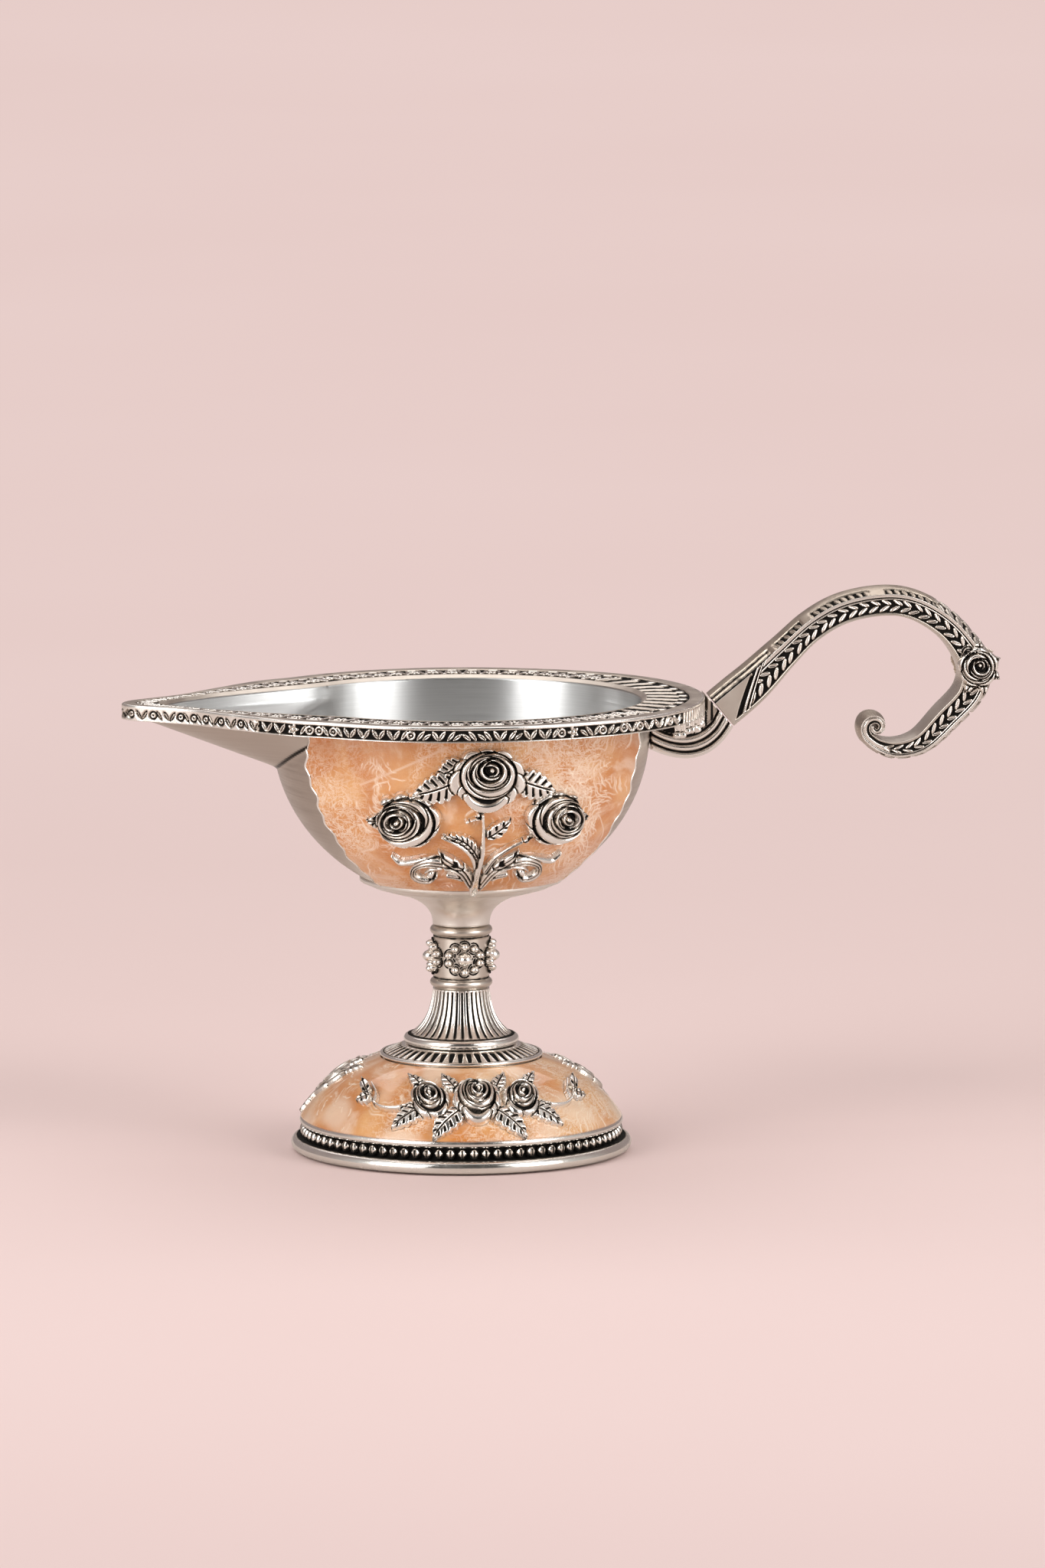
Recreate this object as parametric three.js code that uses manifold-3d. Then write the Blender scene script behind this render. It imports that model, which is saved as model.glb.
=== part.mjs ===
// Hand diya on a pedestal: a cast, silver-plated oil lamp with rose sprays on pearl enamel.
// Millimetres, +Z up. The origin is the middle of the underside, +X runs to the handle,
// -X to the spout, and -Y is the front.

import * as THREE from 'three';
import { mergeVertices } from 'three/addons/utils/BufferGeometryUtils.js';
import Module from 'manifold-3d';

const wasm = await Module();
wasm.setup();

// Clearances
const FIT = 0.3; // beside a curved or slanted neighbour
const LAID_FIT = 0.4; // under a thin piece laid on a curve
const SEAT = 0.1; // between flat faces that stack

// Foot
const PAD_R = 27.5;
const PAD_THICK = 1.2;
const PAD_PROUD = 0.3; // the pad stands below the metal edge
const PAD_LEDGE = 2; // width of the step that the pad is glued to
const FOOT_R = 32.2; // over the rolled edge
const ROLL_H = 2.4;
const COVE_R = 29.2;
const COVE_H = 2.4;
const FOOT_RING_R = 30.6;
const FOOT_RING_H = 1.4;
const DOME_EDGE = 0.2; // step from the ring in to the enamel
const DOME_TOP_R = 15.3;
const DOME_RISE = 11.4;
const DOME_BULGE = 1.6; // how far the dome swells beyond its chord
const FOOT_WALL = 1.6;
const FOOT_PLATE = 2; // flat plate that the screw pulls on
const ENAMEL_THICK = 0.5;
const BEAD_COUNT = 84;
const BEAD_R = 0.8;

// Stem
const LIP_R = 15.4;
const LIP_H = 0.8;
const GADROON_TOP_R = 11.2;
const GADROON_H = 1.45;
const GADROON_COUNT = 44;
const GADROON_DEPTH = 0.45;
const CONE_RING_R = 10.9;
const CONE_RING_H = 1.8;
const CONE_FOOT_R = 9.7;
const CONE_TOP_R = 5.05;
const CONE_H = 8.8; // above its ring
const CONE_FLARE = 2.15; // height in which the flare falls to about a third
const FLUTE_COUNT = 36;
const FLUTE_DEPTH = 0.4;
const COLLAR_R = 5.3;
const COLLAR_RING_R = 5.9;
const COLLAR_RING_H = 2;
const COLLAR_H = 8; // between the rings
const BERRY_COUNT = 8; // small berries round each large one
const BERRY_R = 0.9;
const BERRY_MIDDLE_R = 1.4;
const BERRY_RING_R = 2.6;
const BERRY_TOP = 1.9; // height of the large berry
const CLUSTERS = 4;
const NECK_R = 5.4;
const NECK_H = 6;
const DISH_R = 11.4; // where the neck opens into the dish
const SEAT_R = 19.2;
const SEAT_LIP = 0.6;
const SEAT_FLOOR = 1.1; // thickness of the dish under the bowl
const SEAT_CUP = 2.2; // how far the dish comes up round the bowl

// Screw, washer and bush
const SCREW_R = 2;
const SCREW_GRIP = 4; // length inside the bush
const HEAD_R = 4;
const HEAD_H = 2.4;
const SLOT_WIDE = 1;
const SLOT_DEEP = 1.1;
const WASHER_R = 6;
const WASHER_THICK = 1;
const BUSH_R = 3.6;
const BUSH_H = 6.6;
const BUSH_BLIND = 1.6; // metal left above the thread

// Bowl
const BOWL_A = 35.7; // half length at the top, without the spout
const BOWL_B = 31.6; // half width at the top
const BOWL_C = 32.6; // height of the curved wall's ellipse
const BOWL_BASE_H = 29.8; // from the ellipse's middle down to the flat base
const BOWL_NECK_H = 3.2; // straight wall above the ellipse
const BOWL_WALL = 1.5;
const BOWL_FLOOR = 1.8;
const SPOUT_REACH = 60.5; // tip of the spout's underside
const SPOUT_ROOT = 24; // where the spout leaves the round of the bowl
const SPOUT_DROP = 13.9; // depth of the keel at the root
const SPOUT_TIP_WALL = 3.5;
const SPOUT_KEEL_WALL = 1.6;
const SPOUT_NOSE = 0.68; // power of the plan: lower is blunter
const SPOUT_ROUND = 1.7; // power of the section: 1 is a plain V

// Rim border
const RIM_H = 2.9;
const RIM_SIDE_W = 10;
const RIM_END_W = 11.9; // at the handle
const RIM_SPOUT_W = 5; // at the waist of the spout
const RIM_TIP_W = 8.4;
const RIM_LIP_W = 1;
const RIM_LIP_DROP = 0.7;
const RIM_EDGE = 0.5;

// Enamel panels and sprays of the bowl
const PANEL_TO_SPOUT = 60; // degrees from the front, along the rim
const PANEL_TO_HANDLE = 64;
const PANEL_FOOT_HALF = 54; // to each side, along the seat
const PANEL_FOOT_UP = 0.8; // above the lip of the seat
const SPRAY_H = 30.4; // panel height that the bowl's spray is drawn for
const ARC_DRAWN = 19.6; // dome length that the foot's sprays are drawn for
const RELIEF = 1.1; // height of leaves and stems on the bowl
const FOOT_RELIEF = 0.75; // and on the foot

// Handle
const HANDLE_W = 9.5;
const HANDLE_CROWN = 3; // from the spine out to the crown
const HANDLE_SIDE = 1.8; // from the spine to the edges of the side faces
const HANDLE_BELLY = 2.3; // from the spine to the inner face
const HANDLE_ROOT_SCALE = 1.4;
const HANDLE_END_SCALE = 0.62;
const VOLUTE_R = 2.9;
const VOLUTE_W = 8.4;
const HANDLE_ROSE_R = 3.8;
const HANDLE_ROSE_OUT = 0.6; // from the bend of the spine
const HANDLE_ROSE_UP = 0.8;
const HANDLE_ROSE_H = 1.3;
const BRACKET_DEPTH = 9.3; // below the rim
const BRACKET_STEP = 1.15; // width of one ridge
const BRACKET_RELIEF = 0.5; // height of one ridge
const BRACKET_RIDGES = 3;

// Heights of the stack, from the table up
const rollTop = PAD_PROUD + ROLL_H;
const coveTop = rollTop + COVE_H;
const ringTop = coveTop + FOOT_RING_H;
const footTop = ringTop + DOME_RISE;
const gadroonZ = footTop + SEAT;
const gadroonTop = gadroonZ + LIP_H + GADROON_H;
const coneZ = gadroonTop + SEAT;
const coneTop = coneZ + CONE_RING_H + CONE_H;
const collarZ = coneTop + SEAT;
const collarMid = collarZ + COLLAR_RING_H + COLLAR_H / 2;
const collarTop = collarZ + 2 * COLLAR_RING_H + COLLAR_H;
const neckZ = collarTop + SEAT;
const dishZ = neckZ + NECK_H;
const seatFloorZ = dishZ + SEAT_FLOOR;
const bowlBaseZ = seatFloorZ + SEAT;
const bowlMidZ = bowlBaseZ + BOWL_BASE_H;
const bowlTopZ = bowlMidZ + BOWL_NECK_H;
const rimZ = bowlTopZ + SEAT;
const rimTop = rimZ + RIM_H;
const rimEndX = BOWL_A - BOWL_WALL + RIM_END_W;
const screwBore = SCREW_R + FIT;

// Finishes
const silver = { color: 0xb5a493, roughness: 0.3, metalness: 1 };
const polished = { color: 0xcac3ba, roughness: 0.18, metalness: 1 };
const enamel = { color: 0xe2a569, roughness: 0.2, metalness: 0 };
const steel = { color: 0x8f9296, roughness: 0.4, metalness: 1 };
const brass = { color: 0xb08d4a, roughness: 0.4, metalness: 1 };
const felt = { color: 0x4a4238, roughness: 1, metalness: 0 };

const lamp = new THREE.Group();

// Shared vertices, no empty triangles and faces that point out
function closed(geometry) {
  const bare = geometry.index ? geometry.toNonIndexed() : geometry.clone();
  bare.deleteAttribute('normal');
  bare.deleteAttribute('uv');
  const welded = mergeVertices(bare, 1e-4);
  const points = welded.attributes.position;
  const corner = [0, 1, 2].map(() => new THREE.Vector3());
  const kept = [];
  let volume = 0;
  for (let i = 0; i < welded.index.count; i += 3) {
    const ids = [0, 1, 2].map((k) => welded.index.getX(i + k));
    if (new Set(ids).size < 3) continue;
    ids.forEach((id, k) => corner[k].fromBufferAttribute(points, id));
    volume += corner[0].dot(corner[1].clone().cross(corner[2]));
    kept.push(...ids);
  }
  if (volume < 0) kept.reverse();
  welded.setIndex(kept);
  welded.computeVertexNormals();
  return welded;
}

function solid(geometry) {
  const body = closed(geometry);
  return new wasm.Manifold(new wasm.Mesh({
    numProp: 3,
    vertProperties: new Float32Array(body.attributes.position.array),
    triVerts: new Uint32Array(body.index.array),
  }));
}

function shapeOf(body) {
  const mesh = body.getMesh();
  const geometry = new THREE.BufferGeometry();
  geometry.setAttribute('position', new THREE.BufferAttribute(mesh.vertProperties, 3));
  geometry.setIndex(new THREE.BufferAttribute(mesh.triVerts, 1));
  return geometry;
}

function joined(geometries) {
  return shapeOf(geometries.map(solid).reduce((whole, piece) => whole.add(piece)));
}

function place(name, geometry, finish, parent = lamp) {
  const mesh = new THREE.Mesh(closed(geometry), new THREE.MeshStandardMaterial(finish));
  mesh.name = name;
  parent.add(mesh);
  return mesh;
}

function turned(angle) {
  const group = new THREE.Group();
  group.rotation.z = angle;
  lamp.add(group);
  return group;
}

// Revolved ring: the profile is a closed loop of [radius, height]
function revolve(profile, segments) {
  const loop = [...profile, profile[0]].map(([r, z]) => new THREE.Vector2(r, z));
  return new THREE.LatheGeometry(loop, segments).rotateX(Math.PI / 2);
}

function moved(geometry, change) {
  const points = geometry.attributes.position;
  const p = new THREE.Vector3();
  for (let i = 0; i < points.count; i += 1) {
    change(p.fromBufferAttribute(points, i));
    points.setXYZ(i, p.x, p.y, p.z);
  }
  return geometry;
}

function middleOf(ring) {
  return ring.reduce((sum, p) => sum.add(p), new THREE.Vector3()).divideScalar(ring.length);
}

// Skin through rings of equal length. Its ends close on a point, or the last ring joins the first.
function skin(rings, { endless = false, startAt = middleOf(rings[0]) } = {}) {
  const size = rings[0].length;
  const lastStart = (rings.length - 1) * size;
  const points = rings.flat();
  const index = [];
  const spans = endless ? rings.length : rings.length - 1;
  for (let i = 0; i < spans; i += 1) {
    const low = i * size;
    const high = ((i + 1) % rings.length) * size;
    for (let k = 0; k < size; k += 1) {
      const next = (k + 1) % size;
      index.push(low + k, low + next, high + next, low + k, high + next, high + k);
    }
  }
  if (!endless) {
    const startId = points.push(startAt) - 1;
    const endId = points.push(middleOf(rings[rings.length - 1])) - 1;
    for (let k = 0; k < size; k += 1) {
      const next = (k + 1) % size;
      index.push(startId, next, k, endId, lastStart + k, lastStart + next);
    }
  }
  const geometry = new THREE.BufferGeometry().setFromPoints(points);
  geometry.setIndex(index);
  return geometry;
}

// Sheet between two surfaces, each a function of (u, v) from 0 to 1
function sheet(outer, inner, across, up) {
  const rows = [outer, inner].map((face) => {
    const grid = [];
    for (let j = 0; j <= up; j += 1) {
      for (let i = 0; i <= across; i += 1) grid.push(face(i / across, j / up));
    }
    return grid;
  });
  const wide = across + 1;
  const back = rows[0].length;
  const index = [];
  const quad = (a, b, c, d) => index.push(a, b, c, a, c, d);
  for (let j = 0; j < up; j += 1) {
    for (let i = 0; i < across; i += 1) {
      const a = j * wide + i;
      quad(a, a + 1, a + wide + 1, a + wide);
      quad(back + a, back + a + wide, back + a + wide + 1, back + a + 1);
    }
    const left = j * wide;
    const right = left + across;
    quad(left, left + wide, back + left + wide, back + left);
    quad(right, back + right, back + right + wide, right + wide);
  }
  for (let i = 0; i < across; i += 1) {
    const top = up * wide + i;
    quad(i, back + i, back + i + 1, i + 1);
    quad(top, top + 1, back + top + 1, back + top);
  }
  const geometry = new THREE.BufferGeometry().setFromPoints(rows.flat());
  geometry.setIndex(index);
  return geometry;
}

// Relief on a curved ground. A ground maps (across, up, height) to a point.

function rose(ground, across, up, halfWide, halfHigh, height, sides = 10) {
  // Petal tiers from the outside in: radius, height, depth of the five lobes and their turn
  const tiers = [
    [1, 0, 0.06, 0],
    [1, 0.42, 0.06, 0],
    [0.74, 0.34, 0.05, 0],
    [0.62, 0.8, 0.05, 0.6],
    [0.34, 1, 0, 1.2],
  ];
  const rings = tiers.map(([reach, rise, lobe, turn]) => {
    const ring = [];
    for (let k = 0; k < sides; k += 1) {
      const angle = (2 * Math.PI * k) / sides;
      const r = reach * (1 + lobe * Math.cos(5 * angle + turn * 5));
      ring.push(ground(
        across + halfWide * r * Math.cos(angle),
        up + halfHigh * r * Math.sin(angle),
        height * rise,
      ));
    }
    return ring;
  });
  return skin(rings, { startAt: ground(across, up, 0) });
}

// Leaf with a raised rib from its stalk to its tip
function leaf(ground, from, to, wide, height) {
  const along = [to[0] - from[0], to[1] - from[1]];
  const length = Math.hypot(...along);
  const side = [-along[1] / length, along[0] / length];
  const steps = [0.02, 0.4, 0.98];
  const rings = steps.map((t) => {
    const half = (wide / 2) * Math.sin(Math.PI * t ** 0.8) + 0.12;
    const at = (s, h) => ground(
      from[0] + along[0] * t + side[0] * half * s,
      from[1] + along[1] * t + side[1] * half * s,
      height * h,
    );
    return [at(-1, 0), at(1, 0), at(0, 1)];
  });
  return skin(rings);
}

// Tapering stem along a smooth line through the points
function stem(ground, points, startWide, endWide, steps, height) {
  const line = new THREE.SplineCurve(points.map(([a, b]) => new THREE.Vector2(a, b)));
  const rings = [];
  for (let i = 0; i <= steps; i += 1) {
    const t = i / steps;
    const p = line.getPoint(t);
    const d = line.getTangent(t);
    const half = THREE.MathUtils.lerp(startWide, endWide, t) / 2;
    const at = (s, h) => ground(p.x - d.y * half * s, p.y + d.x * half * s, height * h);
    rings.push([at(-1, 0), at(1, 0), at(0, 0.9)]);
  }
  return skin(rings);
}

// Foot: hollow casting with its dome sunk for the enamel

const domeFoot = new THREE.Vector2(FOOT_RING_R - DOME_EDGE, ringTop);
const domeHead = new THREE.Vector2(DOME_TOP_R, footTop);
const chord = domeFoot.distanceTo(domeHead);
const domeRadius = (chord ** 2 / 4 + DOME_BULGE ** 2) / (2 * DOME_BULGE);
const chordDown = domeFoot.clone().sub(domeHead).normalize();
const domeMiddle = domeFoot.clone().add(domeHead).multiplyScalar(0.5)
  .add(new THREE.Vector2(chordDown.y, -chordDown.x).multiplyScalar(domeRadius - DOME_BULGE));
const domeStart = domeFoot.clone().sub(domeMiddle).angle();
const domeSweep = domeHead.clone().sub(domeMiddle).angle() - domeStart;

// Point of the dome's section: t runs from its foot to its head, height is above the enamel
function domePoint(t, height) {
  const angle = domeStart + domeSweep * t;
  return [
    domeMiddle.x + (domeRadius + height) * Math.cos(angle),
    domeMiddle.y + (domeRadius + height) * Math.sin(angle),
  ];
}

function arcPoints(count, height) {
  return Array.from({ length: count + 1 }, (_, i) => domePoint(i / count, height));
}

const DOME_STEPS = 3;
const FOOT_SIDES = 30;
const dent = -(ENAMEL_THICK + LAID_FIT);
const ledgeR = PAD_R - PAD_LEDGE;
const plateZ = footTop - FOOT_PLATE;
const hollow = arcPoints(DOME_STEPS, dent - FOOT_WALL)
  .map(([r, z]) => [Math.min(r, ledgeR), Math.min(z, plateZ)]);
const plateR = domePoint(1, dent)[0] - FIT;

place('foot', revolve([
  [PAD_R + FIT, PAD_PROUD],
  [FOOT_R - ROLL_H / 2, PAD_PROUD],
  [FOOT_R, PAD_PROUD + ROLL_H / 2],
  [FOOT_R - ROLL_H / 3, rollTop],
  [COVE_R, rollTop],
  [COVE_R, coveTop],
  [FOOT_RING_R, coveTop],
  [FOOT_RING_R, ringTop - DOME_EDGE],
  ...arcPoints(DOME_STEPS, dent),
  [plateR, domePoint(1, dent)[1]],
  [plateR, footTop],
  [screwBore, footTop],
  [screwBore, plateZ],
  [WASHER_R + FIT, plateZ],
  ...hollow.reverse(),
  [ledgeR, PAD_THICK + SEAT],
  [PAD_R + FIT, PAD_THICK + SEAT],
], FOOT_SIDES), silver);

place('foot_enamel', revolve([
  ...arcPoints(DOME_STEPS, 0),
  ...arcPoints(DOME_STEPS, -ENAMEL_THICK).reverse(),
], FOOT_SIDES), enamel);

place(
  'base_pad',
  new THREE.CylinderGeometry(PAD_R, PAD_R, PAD_THICK, FOOT_SIDES).rotateX(Math.PI / 2)
    .translate(0, 0, PAD_THICK / 2),
  felt,
);

// Ring whose radius swells and shrinks, count times round
function beaded(geometry, count, isMoved, depth) {
  return moved(geometry, (p) => {
    if (!isMoved(p)) return;
    const r = Math.hypot(p.x, p.y);
    const wave = (1 - Math.cos(count * Math.atan2(p.y, p.x))) / 2;
    const scale = (r - depth * wave) / r;
    p.x *= scale;
    p.y *= scale;
  });
}

const beadBack = COVE_R + FIT;
const beadMid = (rollTop + coveTop) / 2;
place('foot_beading', beaded(revolve([
  [beadBack, beadMid - BEAD_R],
  [beadBack + 1.5 * BEAD_R, beadMid],
  [beadBack, beadMid + BEAD_R],
], 2 * BEAD_COUNT), BEAD_COUNT, (p) => Math.hypot(p.x, p.y) > beadBack + BEAD_R / 2, BEAD_R), silver);

// Foot sprays: three roses, leaves and budding twigs, drawn flat and laid on the dome

function domeGround(across, up, height) {
  const [r, z] = domePoint(up / ARC_DRAWN, LAID_FIT + height);
  const [onEnamel] = domePoint(up / ARC_DRAWN, 0);
  const angle = -Math.PI / 2 + across / onEnamel;
  return new THREE.Vector3(r * Math.cos(angle), r * Math.sin(angle), z);
}

function footSpray() {
  const rises = 9.8;
  const pieces = [rose(domeGround, 0, rises, 4.3, 4.3, 1.9, 8)];
  for (const side of [-1, 1]) {
    pieces.push(rose(domeGround, side * 7.6, rises, 3.7, 3.4, 1.6, 8));
    pieces.push(leaf(domeGround, [side * 2.4, 7.3], [side * 9, 1.2], 4.4, FOOT_RELIEF));
    pieces.push(leaf(domeGround, [side * 9.8, 7.6], [side * 17, 2.4], 4, FOOT_RELIEF));
    pieces.push(leaf(domeGround, [side * 1.9, 12.4], [side * 4.6, 16.6], 3.4, FOOT_RELIEF));
    pieces.push(leaf(domeGround, [side * 9.6, 11.8], [side * 12.4, 14], 3.4, FOOT_RELIEF));
    pieces.push(stem(domeGround, [
      [side * 10.6, 9.4], [side * 14.5, 6.8], [side * 19, 8.2], [side * 21, 10.4],
    ], 0.9, 0.6, 4, FOOT_RELIEF));
    pieces.push(leaf(domeGround, [side * 20.6, 9.6], [side * 21.6, 12.8], 2.8, FOOT_RELIEF));
  }
  return joined(pieces);
}

const SPRAYS = 3;
for (let i = 0; i < SPRAYS; i += 1) {
  place(`foot_spray_${i + 1}`, footSpray(), silver, turned((2 * Math.PI * i) / SPRAYS));
}

// Stem: lobed ring, fluted cone and collar

const lobeMidR = (LIP_R + GADROON_TOP_R) / 2;
place('gadroon_ring', moved(revolve([
  [screwBore, gadroonZ],
  [LIP_R, gadroonZ],
  [LIP_R, gadroonZ + LIP_H],
  [lobeMidR, gadroonZ + LIP_H + GADROON_H * 0.75],
  [screwBore, gadroonTop],
], 2 * GADROON_COUNT), (p) => {
  const isLobe = Math.abs(Math.hypot(p.x, p.y) - lobeMidR) < (LIP_R - GADROON_TOP_R) / 4;
  if (isLobe) p.z -= GADROON_DEPTH * (1 - Math.cos(GADROON_COUNT * Math.atan2(p.y, p.x))) / 2;
}), silver);

function coneRadius(rise) {
  return CONE_TOP_R + (CONE_FOOT_R - CONE_TOP_R) * Math.exp(-rise / CONE_FLARE);
}

const coneRingTop = coneZ + CONE_RING_H;
const coneRises = [0, 0.25, 1].map((t) => t * CONE_H);
place('fluted_cone', beaded(revolve([
  [screwBore, coneZ],
  [CONE_RING_R, coneZ],
  [CONE_RING_R, coneRingTop],
  ...coneRises.map((rise) => [coneRadius(rise), coneRingTop + rise]),
  [screwBore, coneTop],
], 2 * FLUTE_COUNT), FLUTE_COUNT, (p) => {
  const r = Math.hypot(p.x, p.y);
  return p.z > coneRingTop - SEAT && r < CONE_RING_R - SEAT && r > CONE_TOP_R - SEAT;
}, FLUTE_DEPTH), silver);

const COLLAR_SIDES = 18;
const ringBulge = (z) => [
  [COLLAR_R, z],
  [COLLAR_RING_R, z + COLLAR_RING_H * 0.3],
  [COLLAR_RING_R, z + COLLAR_RING_H * 0.7],
  [COLLAR_R, z + COLLAR_RING_H],
];
place('stem_collar', revolve([
  [screwBore, collarZ],
  ...ringBulge(collarZ),
  ...ringBulge(collarTop - COLLAR_RING_H),
  [screwBore, collarTop],
], COLLAR_SIDES), silver);

// Berry rosette on the collar's front: small berries round a large one

function collarGround(across, up, height) {
  const angle = -Math.PI / 2 + across / COLLAR_R;
  const r = COLLAR_R + FIT + height;
  return new THREE.Vector3(r * Math.cos(angle), r * Math.sin(angle), collarMid + up);
}

function berryCluster() {
  const edge = BERRY_RING_R + BERRY_R;
  const gap = BERRY_RING_R + BERRY_R / 3;
  const inner = BERRY_RING_R - BERRY_R;
  const middleTop = BERRY_MIDDLE_R * 0.4;
  // Rings from the back round to the front: [reach, height] over a berry, then between two
  const rings = [
    [[middleTop, 0], [middleTop, 0]],
    [[edge, 0], [gap, 0]],
    [[edge - BERRY_R * 0.2, BERRY_R * 0.8], [gap, BERRY_R * 0.2]],
    [[BERRY_RING_R, BERRY_R * 1.5], [BERRY_RING_R, BERRY_R * 0.3]],
    [[inner, BERRY_R * 0.5], [inner, BERRY_R * 0.5]],
    [[middleTop, BERRY_TOP], [middleTop, BERRY_TOP]],
  ];
  return skin(rings.map((places) => {
    const ring = [];
    for (let i = 0; i < 2 * BERRY_COUNT; i += 1) {
      const angle = (Math.PI * i) / BERRY_COUNT;
      const [reach, height] = places[i % 2];
      ring.push(collarGround(reach * Math.cos(angle), reach * Math.sin(angle), height));
    }
    return ring;
  }));
}

for (let i = 0; i < CLUSTERS; i += 1) {
  place(`berry_cluster_${i + 1}`, berryCluster(), silver, turned((2 * Math.PI * i) / CLUSTERS));
}

// Bowl wall: an ellipse in height, round at its foot and oval at the top

function ellipseAt(z, halfLong, halfHigh) {
  const drop = Math.max(bowlMidZ - z, 0) / halfHigh;
  return halfLong * Math.sqrt(Math.max(1 - drop ** 2, 0));
}

function squashAt(z, halfLong, halfWide) {
  const t = THREE.MathUtils.smoothstep(z, bowlBaseZ + SEAT_CUP, bowlMidZ);
  return THREE.MathUtils.lerp(1, halfWide / halfLong, t);
}

const WALL_STEPS = 5;
const BOWL_SIDES = 30;

function bowlBlank(grow, floorZ, topZ) {
  const profile = [[0, floorZ]];
  for (let i = 0; i <= WALL_STEPS; i += 1) {
    const z = THREE.MathUtils.lerp(floorZ, bowlMidZ, Math.sin((Math.PI / 2) * (i / WALL_STEPS)) ** 1.4);
    profile.push([ellipseAt(z, BOWL_A + grow, BOWL_C + grow), z]);
  }
  profile.push([BOWL_A + grow, topZ], [0, topZ]);
  const loop = profile.map(([r, z]) => new THREE.Vector2(r, z));
  return moved(new THREE.LatheGeometry(loop, BOWL_SIDES).rotateX(Math.PI / 2), (p) => {
    p.y *= squashAt(p.z, BOWL_A + grow, BOWL_B + grow);
  });
}

// Half width of the spout's plan at the bowl's top
function spoutHalf(x, halfLong, halfWide, tip) {
  const rootHalf = halfWide * Math.sqrt(1 - (SPOUT_ROOT / halfLong) ** 2);
  return rootHalf * Math.max((x + tip) / (tip - SPOUT_ROOT), 0) ** SPOUT_NOSE;
}

const SPOUT_STEPS = 6;
const KEEL_STEPS = 8;

function spoutBlank(wall, tip, drop, topZ) {
  const rings = [];
  for (let i = 0; i <= SPOUT_STEPS; i += 1) {
    const t = 0.001 + 0.999 * (i / SPOUT_STEPS) ** 1.5;
    const x = -tip + (tip - SPOUT_ROOT) * t;
    const half = spoutHalf(x, BOWL_A - wall, BOWL_B - wall, tip);
    const ring = [];
    for (let k = 0; k <= KEEL_STEPS; k += 1) {
      const s = (2 * k) / KEEL_STEPS - 1;
      const z = bowlTopZ - drop * t * (1 - Math.abs(s) ** SPOUT_ROUND);
      ring.push(new THREE.Vector3(x, half * s, z));
    }
    ring.push(new THREE.Vector3(x, half, topZ), new THREE.Vector3(x, -half, topZ));
    rings.push(ring);
  }
  return skin(rings);
}

const innerTip = SPOUT_REACH - SPOUT_TIP_WALL;
const overTop = bowlTopZ + BOWL_WALL;
const bowlOuter = solid(bowlBlank(0, bowlBaseZ, bowlTopZ))
  .add(solid(spoutBlank(0, SPOUT_REACH, SPOUT_DROP, bowlTopZ)));
const bowlInner = solid(bowlBlank(-BOWL_WALL, bowlBaseZ + BOWL_FLOOR, overTop))
  .add(solid(spoutBlank(BOWL_WALL, innerTip, SPOUT_DROP - SPOUT_KEEL_WALL, overTop)));
place('bowl', shapeOf(bowlOuter.subtract(bowlInner)), polished);

// Seat: trumpet neck that opens into a dish under the bowl

const neckCurve = new THREE.CubicBezierCurve(
  new THREE.Vector2(NECK_R, neckZ),
  new THREE.Vector2(NECK_R, neckZ + NECK_H * 0.5),
  new THREE.Vector2(NECK_R + (DISH_R - NECK_R) * 0.35, neckZ + NECK_H * 0.75),
  new THREE.Vector2(DISH_R, dishZ),
);
const dishCurve = new THREE.QuadraticBezierCurve(
  new THREE.Vector2(DISH_R, dishZ),
  new THREE.Vector2((DISH_R + SEAT_R) / 2, dishZ + SEAT_FLOOR / 2),
  new THREE.Vector2(SEAT_R, seatFloorZ + SEAT_CUP / 2),
);
const seatTop = seatFloorZ + SEAT_CUP;
const bowlBaseR = ellipseAt(bowlBaseZ, BOWL_A, BOWL_C);
const cupAt = (z) => Math.min(ellipseAt(z, BOWL_A, BOWL_C) + FIT, SEAT_R - SEAT_LIP / 2);
const bushPocket = BUSH_R + FIT;
const bushZ = seatFloorZ - BUSH_H;
place('bowl_seat', revolve([
  [screwBore, neckZ],
  ...neckCurve.getPoints(3).map((p) => [p.x, p.y]),
  ...dishCurve.getPoints(2).slice(1).map((p) => [p.x, p.y]),
  [SEAT_R, seatTop],
  [cupAt(seatTop), seatTop],
  [cupAt(seatFloorZ + SEAT_CUP / 2), seatFloorZ + SEAT_CUP / 2],
  [bowlBaseR + FIT, seatFloorZ],
  [bushPocket, seatFloorZ],
  [bushPocket, bushZ - SEAT],
  [screwBore, bushZ - SEAT],
], 24), silver);

// Bush under the bowl, and the screw and washer that pull on it from inside the foot

const PIN_SIDES = 12;
place('bowl_bush', revolve([
  [screwBore, bushZ],
  [BUSH_R, bushZ],
  [BUSH_R, seatFloorZ],
  [0, seatFloorZ],
  [0, seatFloorZ - BUSH_BLIND],
  [screwBore, seatFloorZ - BUSH_BLIND],
], PIN_SIDES), brass);

const washerTop = plateZ - SEAT;
place('tie_washer', revolve([
  [screwBore, washerTop - WASHER_THICK],
  [WASHER_R, washerTop - WASHER_THICK],
  [WASHER_R, washerTop],
  [screwBore, washerTop],
], PIN_SIDES), steel);

const headTop = washerTop - WASHER_THICK - SEAT;
const screwBlank = revolve([
  [0, headTop - HEAD_H],
  [HEAD_R, headTop - HEAD_H],
  [HEAD_R, headTop],
  [SCREW_R, headTop],
  [SCREW_R, bushZ + SCREW_GRIP],
  [0, bushZ + SCREW_GRIP],
], PIN_SIDES);
const slot = new THREE.BoxGeometry(3 * HEAD_R, SLOT_WIDE, 2 * SLOT_DEEP)
  .translate(0, 0, headTop - HEAD_H);
place('tie_screw', shapeOf(solid(screwBlank).subtract(solid(slot))), steel);

// Rim border: a flat moulding round the opening, with a plain lip that falls to the bowl

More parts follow.
